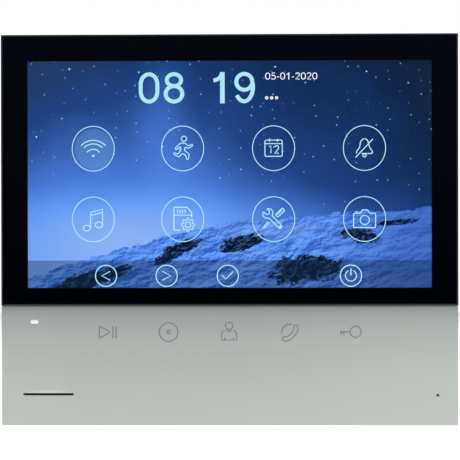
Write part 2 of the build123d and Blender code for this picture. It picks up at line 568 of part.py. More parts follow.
# ================================================================== wiring headers in the rear bay
HEADER_H, HEADER_WALL, HEADER_BACK = 5.75, 0.75, 4.5
HEADER_FLOOR = BOARD_BACK - 1.5
PIN_PITCH, PIN_SIZE, PIN_BACK = 2.5, 0.64, 5.6
COLUMN_X, ROW_Z = 11.5, 12.5
HEADERS = {
    "door_headers": [(-COLUMN_X, ROW_Z, 4), (COLUMN_X, ROW_Z, 4)],
    "camera_headers": [(-COLUMN_X, 0, 4), (COLUMN_X, 0, 4)],
    "link_header": [(-COLUMN_X, -ROW_Z, 4)],
    "power_header": [(COLUMN_X, -ROW_Z, 2)],
}


def header_width(pins):
    return PIN_PITCH * (pins - 1) + 4.9


for name, headers in HEADERS.items():
    with BuildPart() as header:
        for x, z, pins in headers:
            wide = header_width(pins)
            slab(wide, HEADER_H, HEADER_BACK, BOARD_BACK, (x, z), 0.3)
            slab(wide - 2 * HEADER_WALL, HEADER_H - 2 * HEADER_WALL, HEADER_BACK, HEADER_FLOOR, (x, z),
                 mode=Mode.SUBTRACT)
            for side in (-1, 1):
                notch = (x + side * (wide / 2 - 2.6), z + HEADER_H / 2)
                slab(1.2, 2 * HEADER_WALL + 0.2, HEADER_BACK, HEADER_FLOOR - 1.2, notch, mode=Mode.SUBTRACT)
    header.part.label = name
    export_step(header.part, f"parts/{name}.step")

with BuildPart() as header_pins:
    for headers in HEADERS.values():
        for x, z, pins in headers:
            for pin in range(pins):
                pin_x = x + PIN_PITCH * (pin - (pins - 1) / 2)
                slab(PIN_SIZE, PIN_SIZE, PIN_BACK, HEADER_FLOOR, (pin_x, z))
header_pins.part.label = "header_pins"
export_step(header_pins.part, "parts/header_pins.step")

# ================================================================== cables held inside
FLAT_CABLES = {
    # name: (x, width, bends, (depth, z) points up to the socket)
    "screen_flex": (-60.0, 20.0, [0.5, 1.5],
                    [(LCD_BACK + 0.25, LCD_BOTTOM), (LCD_BACK + 0.25, LCD_BOTTOM - 1.2),
                     (FLEX_DEPTH, LCD_BOTTOM - 1.2), (FLEX_DEPTH, SOCKET_Z - 2)]),
    "touch_flex": (-33.5, 8.0, [0.2, 1.5],
                   [(SENSOR_BACK + 0.3, LCD_BOTTOM + 0.3), (SENSOR_BACK + 0.3, LCD_BOTTOM - 0.2),
                    (FLEX_DEPTH, LCD_BOTTOM - 0.2), (FLEX_DEPTH, SOCKET_Z - 2)]),
    "key_ribbon": (KEY_SOCKET_X, 10.0, [1.5],
                   [(KEY_BOARD_BACK - 1.0, KEY_SOCKET_Z), (FLEX_DEPTH, KEY_SOCKET_Z),
                    (FLEX_DEPTH, SOCKET_Z - 2)]),
}
FLEX_T = 0.16
LEAD_SOCKETS = [(TERMINAL[0], 2.0), (64.0, -19.0)]

for name, (x, width, bends, points) in FLAT_CABLES.items():
    with BuildPart() as flat_cable:
        ribbon(points, x, width, FLEX_T, bends)
    flat_cable.part.label = name
    export_step(flat_cable.part, f"parts/{name}.step")

with BuildPart() as board_sockets:
    for x, width, bends, points in FLAT_CABLES.values():
        slab(width + 2, 4, BOARD_BACK - SOCKET_T, BOARD_BACK, (x, SOCKET_Z))
    for centre in LEAD_SOCKETS:
        slab(6, 4.5, BOARD_BACK - 3, BOARD_BACK, centre)
board_sockets.part.label = "board_sockets"
export_step(board_sockets.part, "parts/board_sockets.step")

LEAD_DEPTH = BOARD_BACK - 2.1
with BuildPart() as speaker_leads:
    for shift in (-0.8, 0.8):
        x, z = TERMINAL[0] + shift, TERMINAL[1]
        wire([(x, BASKET_BACK + 0.6, z), (x, LEAD_DEPTH, z),
              (x, LEAD_DEPTH, LEAD_SOCKETS[0][1] - 2.25)], LEAD_R, 2.4)
speaker_leads.part.label = "speaker_leads"
export_step(speaker_leads.part, "parts/speaker_leads.step")

with BuildPart() as microphone_leads:
    for shift in (-0.8, 0.8):
        socket_x = LEAD_SOCKETS[1][0] + shift
        wire([(MIC_X + shift, DECK_BACK - 3.0, MIC_Z), (MIC_X + shift, LEAD_DEPTH, MIC_Z),
              (MIC_X + shift, LEAD_DEPTH, -52), (socket_x, LEAD_DEPTH, -33),
              (socket_x, LEAD_DEPTH, LEAD_SOCKETS[1][1] - 2.25)], LEAD_R, 2.6)
microphone_leads.part.label = "microphone_leads"
export_step(microphone_leads.part, "parts/microphone_leads.step")

# ================================================================== rear cover
RECESS_W, RECESS_TOP = BRACKET_W + 6, BRACKET_H / 2 + 2
RECESS_BOTTOM = -BRACKET_H / 2 - LIFT - 1.5
RECESS_WALL = 2.0
POST_R, WELL_R, WELL_FLOOR, SCREW_HOLE_R = 3.6, 2.7, 7.6, 1.4
POST_FRONT = BOSS_BACK - 0.1
POCKET_FRONT = HOOK_FRONT + 2.2
POCKET_WALL = 1.2
BAY_FRONT = BOARD_BACK - 0.2
PAD_R, PAD_T, PAD_FLOOR = 4.0, 1.0, 1.0
PAD_SPOTS = [(x, z) for x in (-66, 66) for z in (-54, 54)]
VENT_PITCH, VENT_W, VENT_COUNT = 4.0, 1.6, 23
VENT_Z, VENT_L = 66.6, 6.4
SLIT_CLEAR = 0.1


def recess_box(back, front, grow=0.0, mode=Mode.ADD):
    span(-RECESS_W / 2 - grow, RECESS_W / 2 + grow, RECESS_BOTTOM - grow, RECESS_TOP + grow,
         back, front, mode)


def pocket(x, z, back, front, grow=0.0, mode=Mode.ADD):
    """Space that a hook's tip sweeps behind the recess floor, with its walls when grown."""
    span(x - HOOK_W / 2 - 1 - grow, x + HOOK_W / 2 + 1 + grow, z - LIFT - 1 - grow,
         z + HOOK_RISE + 1 + grow, back, front, mode)


with BuildPart() as cover_cavity:
    slab(2 * WALL_X, 2 * WALL_Z, SLOPE_START, SPLIT_COVER, radius=CORNER_R)
    tapered([(2 * WALL_X, 2 * WALL_Z, CORNER_R, SLOPE_START),
             (BACK_W - 2, BACK_H - 2, BACK_R - 1, COVER_BACK + WALL_T)])
    recess_box(COVER_BACK, RECESS_INNER, RECESS_WALL, Mode.SUBTRACT)
    slab(BAY_W + 2 * BAY_WALL, BAY_H + 2 * BAY_WALL, COVER_BACK, SPLIT_COVER, mode=Mode.SUBTRACT)
    for x in HOOK_XS:
        for z in HOOK_ZS:
            pocket(x, z, RECESS_INNER, SPLIT_COVER, POCKET_WALL, Mode.SUBTRACT)
    for centre in CASE_SCREWS:
        disc(POST_R, COVER_BACK, SPLIT_COVER, centre, Mode.SUBTRACT)

with BuildPart() as rear_cover:
    slab(FRAME_W, FRAME_H, SLOPE_START, SPLIT_COVER, radius=CORNER_R)
    tapered([(FRAME_W, FRAME_H, CORNER_R, SLOPE_START), (BACK_W, BACK_H, BACK_R, COVER_BACK)])
    fillet(rear_cover.faces().sort_by(Axis.Y)[-1].edges(), 0.8)
    add(cover_cavity.part, mode=Mode.SUBTRACT)
    # Tongue that enters the frame, cleared beside the card socket and the reset switch.
    tongue_inner = (2 * (WALL_X - 1.4), 2 * (WALL_Z - 1.4), 0)
    band((2 * (WALL_X - 0.2), 2 * (WALL_Z - 0.2), 0), tongue_inner, SPLIT_COVER, SPLIT_COVER + 1.4)
    span(-WALL_X, -WALL_X + 2, 0, CARD_Z + 10, SPLIT_COVER, SPLIT_COVER + 1.4, Mode.SUBTRACT)
    band((2 * WALL_X + 1, 2 * WALL_Z + 1, 0), tongue_inner, SPLIT_COVER - 0.8, SPLIT_COVER)
    slab(BAY_W + 2 * BAY_WALL, BAY_H + 2 * BAY_WALL, SPLIT_COVER - 0.8, BAY_FRONT)
    for x in HOOK_XS:
        for z in HOOK_ZS:
            pocket(x, z, RECESS_INNER, POCKET_FRONT, POCKET_WALL)
    for centre in CASE_SCREWS:
        disc(POST_R, SLOPE_START, POST_FRONT, centre)
    recess_box(COVER_BACK, RECESS_FLOOR, mode=Mode.SUBTRACT)
    slab(BAY_W, BAY_H, RECESS_FLOOR, BAY_FRONT, radius=2, mode=Mode.SUBTRACT)
    for x in HOOK_XS:
        for z in HOOK_ZS:
            pocket(x, z, RECESS_INNER, POCKET_FRONT - POCKET_WALL, mode=Mode.SUBTRACT)
            span(x - HOOK_W / 2 - 1, x + HOOK_W / 2 + 1, z - LIFT - 1, z + BRACKET_T + SLIT_CLEAR,
                 RECESS_FLOOR, RECESS_INNER, Mode.SUBTRACT)
    for centre in CASE_SCREWS:
        disc(WELL_R, 0, WELL_FLOOR, centre, Mode.SUBTRACT)
        disc(SCREW_HOLE_R, 0, POST_FRONT, centre, Mode.SUBTRACT)
    for centre in PAD_SPOTS:
        disc(PAD_R + 0.1, 0, PAD_FLOOR, centre, Mode.SUBTRACT)
    for vent in range(VENT_COUNT):
        x = VENT_PITCH * (vent - (VENT_COUNT - 1) / 2)
        for z in (VENT_Z, -VENT_Z):
            stadium(VENT_L, VENT_W, 0, SLOPE_START + 1, (x, z), 90, Mode.SUBTRACT)
rear_cover.part.label = "rear_cover"
export_step(rear_cover.part, "parts/rear_cover.step")

with BuildPart() as wall_pads:
    for centre in PAD_SPOTS:
        disc(PAD_R, 0, PAD_T, centre)
wall_pads.part.label = "wall_pads"
export_step(wall_pads.part, "parts/wall_pads.step")

with BuildPart() as rating_label:
    slab(46, 11, COVER_BACK - 0.15, COVER_BACK, (0, 53.5), 0.8)
rating_label.part.label = "rating_label"
export_step(rating_label.part, "parts/rating_label.step")

# ================================================================== fasteners


def cross_screw(centre, head_r, head_back, head_front, shank_r, tip):
    """Pan-head screw driven from the wall side, with a cross recess in its head."""
    disc(head_r, head_back, head_front, centre)
    disc(shank_r, head_front, tip, centre)
    for turn in (0, 90):
        stadium(head_r * 1.2, head_r * 0.3, head_back, head_back + (head_front - head_back) * 0.6, centre,
                turn, Mode.SUBTRACT)


with BuildPart() as case_screws:
    for centre in CASE_SCREWS:
        cross_screw(centre, 2.3, WELL_FLOOR - 1.7, WELL_FLOOR, 1.25, 13.4)
case_screws.part.label = "case_screws"
export_step(case_screws.part, "parts/case_screws.step")

with BuildPart() as board_screws:
    for centre in BOARD_SCREWS:
        cross_screw(centre, 2.2, BOARD_BACK - 1.3, BOARD_BACK, 0.95, CHASSIS_FRONT - 0.2)
board_screws.part.label = "board_screws"
export_step(board_screws.part, "parts/board_screws.step")

with BuildPart() as chassis_screws:
    for centre in CHASSIS_TABS:
        cross_screw(centre, 1.4, CHASSIS_BACK - 0.9, CHASSIS_BACK, 0.75, CHASSIS_FRONT + 3)
chassis_screws.part.label = "chassis_screws"
export_step(chassis_screws.part, "parts/chassis_screws.step")
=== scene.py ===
"""Looks of a wall-hung video intercom monitor: a lit screen under black glass, touch keys printed on a
silver panel, a moulded casing and a zinc-plated wall bracket. Lengths in the helpers are millimetres."""
import math

import bmesh
import bpy
from bpy.props import FloatProperty, FloatVectorProperty, PointerProperty
from bpy.types import Operator, Panel, PropertyGroup
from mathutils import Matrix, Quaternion, Vector


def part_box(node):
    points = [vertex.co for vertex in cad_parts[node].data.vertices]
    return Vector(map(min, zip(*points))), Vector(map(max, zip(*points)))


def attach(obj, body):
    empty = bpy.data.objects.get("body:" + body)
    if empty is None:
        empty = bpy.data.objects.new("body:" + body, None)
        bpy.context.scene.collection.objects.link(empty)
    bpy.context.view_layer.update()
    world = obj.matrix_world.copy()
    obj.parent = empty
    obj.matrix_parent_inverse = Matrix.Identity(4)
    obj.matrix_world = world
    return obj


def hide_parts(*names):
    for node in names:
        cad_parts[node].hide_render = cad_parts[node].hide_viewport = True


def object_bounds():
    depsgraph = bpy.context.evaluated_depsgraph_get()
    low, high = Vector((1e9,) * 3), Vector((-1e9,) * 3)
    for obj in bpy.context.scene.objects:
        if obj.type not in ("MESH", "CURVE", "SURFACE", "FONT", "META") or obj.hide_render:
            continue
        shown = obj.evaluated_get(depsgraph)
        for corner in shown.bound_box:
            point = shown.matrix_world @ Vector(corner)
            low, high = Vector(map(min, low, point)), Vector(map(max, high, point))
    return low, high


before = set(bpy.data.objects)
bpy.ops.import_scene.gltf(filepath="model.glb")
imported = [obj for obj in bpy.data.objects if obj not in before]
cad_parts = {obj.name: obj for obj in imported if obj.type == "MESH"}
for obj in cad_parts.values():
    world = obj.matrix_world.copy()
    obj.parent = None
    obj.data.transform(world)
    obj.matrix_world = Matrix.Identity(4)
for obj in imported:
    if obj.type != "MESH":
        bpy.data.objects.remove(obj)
CAD_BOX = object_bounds()

bl_info = {
    "name": "Intercom Monitor Looks",
    "version": (1, 0, 0),
    "blender": (4, 5, 0),
    "location": "3D View > Sidebar > Intercom",
    "description": "Builds the visible pieces, finishes and studio of a video intercom monitor",
    "category": "Object",
}

MM = 0.001
BODY = "monitor"
FACE_NORMAL = Vector((0, -1, 0))       # towards the room


def edges_mm(node):
    """Left, right, front, back, bottom and top of a CAD node, in millimetres."""
    low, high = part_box(node)
    return low.x / MM, high.x / MM, low.y / MM, high.y / MM, low.z / MM, high.z / MM


# ------------------------------------------------------------------ places taken from the frame
GLASS = edges_mm("cover_glass")
PANEL = edges_mm("key_panel")
CELL = edges_mm("screen_cell")
SLIT = edges_mm("slit_mesh")
MICROPHONE = edges_mm("microphone")
LABEL = edges_mm("rating_label")
SCREEN_SIZE = (153.95, 86.35)
SCREEN_GAIN = 1.12     # makes up for the light that the glass keeps
SCREEN_Z = CELL[4] / 2 + CELL[5] / 2 - 0.33
SCREEN_BOTTOM = SCREEN_Z - SCREEN_SIZE[1] / 2
JOINT_TRIM = 0.15      # taken off the glass's lower edge, to leave a hairline above the panel's lip
LIP_HEIGHT = 0.27


# ------------------------------------------------------------------ settings
def colour_property(name, default, description):
    return FloatVectorProperty(name=name, description=description, default=default, subtype="COLOR",
                               size=3, min=0.0, max=1.0)


def length_property(name, default, description):
    """A length kept in metres, given here in millimetres."""
    return FloatProperty(name=name, description=description, default=default * MM, min=0.0,
                         unit="LENGTH", precision=5)


class ScreenSettings(PropertyGroup):
    line: length_property("Icon line", 0.43, "Width of the function icons' lines")
    digit_line: length_property("Digit line", 1.75, "Width of the clock digits' strokes")
    date_line: length_property("Date line", 0.38, "Width of the date digits' strokes")
    ring_width: length_property("Ring width", 16.1, "Width of the rings round the function icons")
    ring_height: length_property("Ring height", 17.1, "Height of the rings round the function icons")
    bar_height: length_property("Bar height", 10.3, "Height of the dark bar along the screen's foot")
    icon_colour: colour_property("Icon colour", (0.46, 0.84, 0.99), "Light of the icon lines")
    digit_colour: colour_property("Digit colour", (0.42, 0.80, 0.93), "Light of the clock digits")
    date_colour: colour_property("Date colour", (0.88, 0.94, 0.98), "Light of the date")


class CaseSettings(PropertyGroup):
    mark_line: length_property("Key mark line", 0.42, "Width of the printed key marks' lines")
    mark_colour: colour_property("Key mark colour", (0.135, 0.158, 0.165), "Ink of the key marks")
    # Painted shade: the top colour is darker than the foot's, and the panel's colour fades between them.
    panel_shaded_top: colour_property("Panel colour, top", (0.224, 0.241, 0.241), "Silver next to the glass")
    panel_low: colour_property("Panel colour, foot", (0.447, 0.474, 0.436), "Silver at the lower edge")
    frame_colour: colour_property("Frame colour", (0.50, 0.52, 0.51), "Silver paint of the casing")
    cover_colour: colour_property("Cover colour", (0.032, 0.034, 0.037), "Plastic of the rear cover")


class StageSettings(PropertyGroup):
    distance: FloatProperty(name="Camera distance", description="Lens to the face of the glass",
                            default=0.7, min=0.2, unit="LENGTH")
    azimuth: FloatProperty(name="Azimuth", description="Camera angle round the monitor",
                           default=math.radians(1.41), subtype="ANGLE")
    elevation: FloatProperty(name="Elevation", description="Camera angle above the monitor",
                             default=math.radians(0.26), subtype="ANGLE")
    roll: FloatProperty(name="Roll", description="Turn of the camera about its own axis",
                        default=math.radians(-0.1), subtype="ANGLE")
    lens: FloatProperty(name="Lens", description="Focal length on a 36 mm wide sensor, in millimetres",
                        default=144.0, min=20.0)
    floor_drop: FloatProperty(name="Floor drop", description="Gap between the monitor and the floor",
                              default=0.055, min=0.0, unit="LENGTH")
    floor_size: FloatProperty(name="Floor size", description="Radius of the round floor", default=2.0,
                              min=0.5, unit="LENGTH")
    key_power: FloatProperty(name="Key light", description="Power of the main lamp, in watts",
                             default=5.5, min=0.0)
    fill_power: FloatProperty(name="Fill light", description="Power of the filling lamp, in watts",
                              default=8.0, min=0.0)
    back_power: FloatProperty(name="Back light", description="Power of the lamp behind, in watts",
                              default=18.0, min=0.0)
    sky_strength: FloatProperty(name="Surround", description="Brightness of the pale surround",
                                default=0.75, min=0.0)


# ------------------------------------------------------------------ shader helpers
def display(red, green, blue):
    """Linear colour of the 0 to 255 values that a screen would show."""
    return tuple(((v / 255 + 0.055) / 1.055) ** 2.4 if v > 10 else v / 255 / 12.92
                 for v in (red, green, blue)) + (1.0,)


def opaque(colour):
    return (*colour[:3], 1.0)


class Shader:
    """A material's node tree, with short calls that add nodes and wire them."""

    def __init__(self, name):
        self.material = bpy.data.materials.new(name)
        self.material.use_nodes = True
        self.tree = self.material.node_tree
        self.surface = self.tree.nodes["Principled BSDF"]
        self.place = None

    def add(self, kind, inputs=None, **settings):
        """New node; inputs maps a socket's name or number to a value or to another socket."""
        made = self.tree.nodes.new("ShaderNode" + kind)
        for name, value in settings.items():
            setattr(made, name, value)
        for name, value in (inputs or {}).items():
            self.feed(made.inputs[name], value)
        return made

    def feed(self, socket, value):
        if isinstance(value, bpy.types.NodeSocket):
            self.tree.links.new(value, socket)
        else:
            socket.default_value = value

    def set(self, **sockets):
        """Sets or links the surface's sockets, with underscores for the spaces in their names."""
        for name, value in sockets.items():
            self.feed(self.surface.inputs[name.replace("_", " ")], value)

    def mm(self):
        """Object coordinates in millimetres."""
        if self.place is None:
            source = self.add("TexCoord").outputs["Object"]
            scale = self.add("VectorMath", {0: source, "Scale": 1 / MM}, operation="SCALE")
            self.place = scale.outputs[0]
        return self.place

    def axis(self, letter):
        return self.add("SeparateXYZ", {0: self.mm()}).outputs[letter]

    def calc(self, operation, first, second=0.0, third=0.0, clamp=False):
        return self.add("Math", {0: first, 1: second, 2: third}, operation=operation,
                        use_clamp=clamp).outputs[0]

    def ramp(self, value, start, end, low=0.0, high=1.0, smooth=True):
        """Value from start to end turned into low to high."""
        return self.add("MapRange", {"Value": value, "From Min": start, "From Max": end,
                                     "To Min": low, "To Max": high},
                        interpolation_type="SMOOTHSTEP" if smooth else "LINEAR").outputs[0]

    def mix(self, factor, first, second, blend="MIX"):
        """Mix of two colours."""
        made = self.add("Mix", data_type="RGBA", blend_type=blend)
        for number, value in ((0, factor), (6, first), (7, second)):
            self.feed(made.inputs[number], value)
        return made.outputs[2]

    def stretched(self, sizes, turn=0.0, place=(0, 0, 0)):
        """Coordinates counted in steps of these sizes, along axes turned about Y."""
        made = self.add("Mapping", {"Vector": self.mm(), "Location": place, "Scale": sizes,
                                    "Rotation": (0, turn, 0)}, vector_type="TEXTURE")
        return made.outputs[0]

    def noise(self, size, detail=2.0, roughness=0.5, stretch=(1, 1, 1), turn=0.0, place=(0, 0, 0)):
        """Noise whose features are about this many millimetres across, 0 to 1."""
        sizes = tuple(size * s for s in stretch)
        return self.add("TexNoise", {"Vector": self.stretched(sizes, turn, place), "Scale": 1.0,
                                     "Detail": detail, "Roughness": roughness}).outputs["Fac"]

    def patch(self, x, z, half_width, half_height, turn=0.0):
        """Soft oval spot, 1 in its middle and 0 outside, seen from the front."""
        spot = self.add("Mapping", {"Vector": self.mm(), "Location": (x, 0, z),
                                    "Rotation": (0, turn, 0),
                                    "Scale": (half_width, 1e6, half_height)}, vector_type="TEXTURE")
        fall = self.add("TexGradient", {0: spot.outputs[0]}, gradient_type="SPHERICAL")
        return self.ramp(fall.outputs["Fac"], 0.0, 1.0)

    def profile(self, value, points):
        """Smooth curve through (input, output) points, all from 0 to 1."""
        made = self.add("FloatCurve", {"Value": value})
        line = made.mapping.curves[0]
        line.points[0].location, line.points[-1].location = points[0], points[-1]
        for point in points[1:-1]:
            line.points.new(*point)
        made.mapping.update()
        return made.outputs[0]

    def palette(self, value, stops):
        """Colour ramp with (position, colour) stops."""
        made = self.add("ValToRGB", {0: value})
        ramp = made.color_ramp
        ramp.elements[0].position, ramp.elements[0].color = stops[0]
        ramp.elements[1].position, ramp.elements[1].color = stops[-1]
        for position, colour in stops[1:-1]:
            ramp.elements.new(position).color = colour
        return made.outputs["Color"]

    def bump(self, height, distance, strength=1.0):
        """Surface relief: distance is the height of 1, in millimetres."""
        made = self.add("Bump", {"Height": height, "Distance": distance * MM, "Strength": strength})
        self.feed(self.surface.inputs["Normal"], made.outputs["Normal"])


# ------------------------------------------------------------------ finishes
def moulded(name, colour, roughness=0.5, grain=0.25, relief=0.012, variation=0.10):
    """Injection-moulded plastic with a spark-eroded grain."""
    shader = Shader(name)
    cloud = shader.noise(9.0, 3.0)
    fine = shader.noise(grain, 3.0, 0.6)
    dark = tuple(v * (1 - variation) for v in colour[:3])
    light = tuple(min(1.0, v * (1 + variation)) for v in colour[:3])
    shader.set(Base_Color=shader.mix(cloud, opaque(dark), opaque(light)),
               Roughness=shader.ramp(fine, 0.3, 0.7, roughness - 0.06, roughness + 0.06))
    shader.bump(fine, relief)
    return shader.material


def sheet_metal(name, colour, roughness=0.32, along=(30, 1, 1), relief=0.004):
    """Rolled or brushed sheet with fine lines along one axis."""
    shader = Shader(name)
    lines = shader.noise(0.35, 4.0, 0.65, along)
    cloud = shader.noise(14.0, 3.0)
    dark = tuple(v * 0.84 for v in colour)
    tone = shader.mix(cloud, opaque(dark), opaque(colour))
    shader.set(Base_Color=tone, Metallic=1.0,
               Roughness=shader.ramp(lines, 0.25, 0.75, roughness - 0.08, roughness + 0.1))
    shader.bump(lines, relief)
    return shader.material


def zinc_plate(name, colour):
    """Zinc plating: a fine crystal mottle over the sheet."""
    shader = Shader(name)
    cells = shader.add("TexVoronoi", {"Vector": shader.stretched((2.2, 2.2, 2.2)), "Scale": 1.0})
    tone = shader.add("SeparateColor", {0: cells.outputs["Color"]}).outputs[0]
    mottle = shader.calc("ADD", shader.calc("MULTIPLY", tone, 0.35), shader.noise(2.5, 4.0, 0.6))
    dark = tuple(v * 0.82 for v in colour)
    shader.set(Base_Color=shader.mix(shader.ramp(mottle, 0.35, 0.95), opaque(dark), opaque(colour)),
               Metallic=1.0, Roughness=shader.ramp(mottle, 0.3, 1.0, 0.34, 0.48))
    shader.bump(shader.noise(0.5, 3.0), 0.004)
    return shader.material


PANEL_PAINTED_SHADE = [         # painted shade: how far the panel's colour has darkened, by share of its height
    (0.0, 0.0), (0.5, 0.2), (0.85, 0.55), (1.0, 1.0)]
PAINTED_SHEEN_RIGHT = (75, -42, 75, 30)      # painted sheen, soft lighter ovals on the panel: x, z, half width, half height
PAINTED_SHEEN_LEFT = (-87, -50, 40, 60)


def silver_face(name, high, low):
    """Satin silver sheet of the key panel: fine metallic grain, painted shade darker towards the glass.
    """
    shader = Shader(name)
    height = shader.axis("Z")
    top, foot = PANEL[5], PANEL[4]
    # Painted shade: the colour darkens from the foot towards the glass.
    painted_shade = shader.profile(shader.ramp(height, foot, top, smooth=False), PANEL_PAINTED_SHADE)
    # Painted sheen: two soft ovals that lighten the colour.
    painted_sheen = shader.calc("ADD", shader.calc("MULTIPLY", shader.patch(*PAINTED_SHEEN_RIGHT), 0.05),
                        shader.calc("MULTIPLY", shader.patch(*PAINTED_SHEEN_LEFT), 0.03))
    # Painted highlight: a pale line along the upper edge of the speaker slit.
    lip = shader.calc("MULTIPLY", shader.patch(SLIT[0] / 2 + SLIT[1] / 2, -61.9, 12, 1.6), 0.25)
    # side lightens the colour by the painted sheen and the painted highlight.
    side = shader.calc("ADD", shader.calc("ADD", painted_sheen, lip), 1.0)
    grain = shader.noise(0.11, 2.0, 0.7)
    hairline = shader.noise(0.5, 3.0, 0.6, (60, 1, 1))
    tone = shader.mix(painted_shade, opaque(low), opaque(high))
    flecks = shader.calc("MULTIPLY", shader.ramp(grain, 0.3, 0.75, 0.965, 1.035),
                         shader.ramp(hairline, 0.3, 0.7, 0.99, 1.01))
    shaded = shader.add("VectorMath", {0: tone, "Scale": shader.calc("MULTIPLY", flecks, side)},
                        operation="SCALE").outputs[0]
    shader.set(Base_Color=shaded, Metallic=0.25,
               Roughness=shader.ramp(grain, 0.3, 0.7, 0.42, 0.52))
    shader.bump(grain, 0.003)
    return shader.material


def clear_glass(name):
    """Polished cover glass with the faintest variation in its tint."""
    shader = Shader(name)
    tint = shader.mix(shader.noise(25.0, 2.0), (0.96, 0.975, 0.98, 1), (0.98, 0.985, 0.99, 1))
    shader.set(Base_Color=tint, Transmission_Weight=1.0, IOR=1.42, Roughness=0.0)
    return shader.material


def see_through(name, colour, alpha, roughness=0.1, gloss=0.5):
    """Clear film or acrylic, shown as a thin veil."""
    shader = Shader(name)
    veil = shader.noise(20.0, 2.0)
    dark = tuple(v * 0.9 for v in colour)
    shader.set(Base_Color=shader.mix(veil, opaque(dark), opaque(colour)), Roughness=roughness,
               Alpha=alpha, Specular_IOR_Level=gloss)
    return shader.material


def ink(name, colour, roughness=0.5, gloss=0.5):
    """Screen-printed ink with a slightly uneven lay."""
    shader = Shader(name)
    lay = shader.noise(0.6, 3.0, 0.6)
    dark = tuple(v * 0.88 for v in colour)
    shader.set(Base_Color=shader.mix(lay, opaque(dark), opaque(colour)), Roughness=roughness,
               Specular_IOR_Level=gloss)
    return shader.material


def glow(name, colour, strength=SCREEN_GAIN):
    """Lit element with a soft cloud in its brightness."""
    shader = Shader(name)
    cloud = shader.noise(3.0, 2.0)
    dark = tuple(v * 0.93 for v in colour)
    shader.set(Base_Color=(0, 0, 0, 1), Roughness=0.6,
               Emission_Color=shader.mix(cloud, opaque(dark), opaque(colour)),
               Emission_Strength=strength, Specular_IOR_Level=0.0)
    return shader.material


def board(name, colour):
    """Circuit board: solder resist over a maze of copper tracks and small pads."""
    shader = Shader(name)
    cells = shader.add("TexVoronoi", {"Vector": shader.stretched((1.8, 1000, 1.8)), "Scale": 1.0},
                       distance="CHEBYCHEV", feature="F1")
    near = cells.outputs["Distance"]
    tracks = shader.ramp(shader.calc("PINGPONG", shader.calc("MULTIPLY", near, 6.0), 1.0), 0.35, 0.6)
    vias = shader.add("TexVoronoi", {"Vector": shader.stretched((2.5, 1000, 2.5)), "Scale": 1.0})
    pads = shader.ramp(vias.outputs["Distance"], 0.13, 0.10)
    base = shader.mix(tracks, opaque(tuple(v * 0.6 for v in colour)), opaque(colour))
    shader.set(Base_Color=shader.mix(pads, base, (0.62, 0.56, 0.38, 1)),
               Metallic=shader.calc("MULTIPLY", pads, 0.8), Roughness=0.38)
    shader.bump(shader.calc("ADD", tracks, pads), 0.03)
    return shader.material


def cloth_mesh(name, colour):
    """Fine woven cloth behind the speaker slit."""
    shader = Shader(name)
    across = shader.calc("SINE", shader.calc("MULTIPLY", shader.axis("X"), 21.0))
    down = shader.calc("SINE", shader.calc("MULTIPLY", shader.axis("Z"), 21.0))
    weave = shader.ramp(shader.calc("MULTIPLY", across, down), -1.0, 1.0)
    shader.set(Base_Color=shader.mix(weave, opaque(tuple(v * 0.5 for v in colour)), opaque(colour)),
               Roughness=0.9)
    shader.bump(weave, 0.05)
    return shader.material


def soft_rubber(name, colour, roughness=0.75):
    """Rubber or foam with a dusty, pored skin."""
    shader = Shader(name)
    pores = shader.noise(0.5, 4.0, 0.7)
    dust = shader.noise(5.0, 3.0)
    light = tuple(min(1.0, v + 0.03) for v in colour)
    shader.set(Base_Color=shader.mix(dust, opaque(colour), opaque(light)),
               Roughness=shader.ramp(pores, 0.2, 0.8, roughness - 0.1, roughness + 0.1))
    shader.bump(pores, 0.03)
    return shader.material


# ------------------------------------------------------------------ the picture on the screen
SKY_STOPS = [          # display colours from the darkest to the palest sky
    (0.0, (0, 10, 30)), (0.25, (25, 65, 130)), (0.5, (70, 120, 210)), (0.75, (100, 155, 240)),
    (1.0, (135, 175, 240))]
SKY_HEIGHT = [         # brightness by share of the screen's height
    (0.0, 1.0), (0.2, 1.0), (0.5, 0.5), (1.0, 0.15)]
SKY_BREADTH = [        # brightness by share of the screen's width
    (0.0, 0.8), (0.3, 1.0), (0.6, 0.6), (1.0, 0.2)]
STREAK = (-25, 45, 16, 45)           # soft ovals in the sky: x, z, half width, half height
DUSK_LEFT = (-84, 74, 60, 34)
DUSK_RIGHT = (86, 56, 26, 70)
RIDGE = [              # height of the snow ridge, by share of the screen's width and height
    (0.0, 0.04), (0.2, 0.15), (0.4, 0.25), (0.6, 0.3), (1.0, 0.35)]
ROCKS = [              # x, z, half width, half height, turn in degrees
    (5, -5, 15, 6, -15), (30, -15, 25, 10, -10), (50, -2, 15, 6, 10), (-55, -20, 35, 7, -20),
    (-20, -8, 20, 5, -25), (65, 3, 15, 2, -5)]


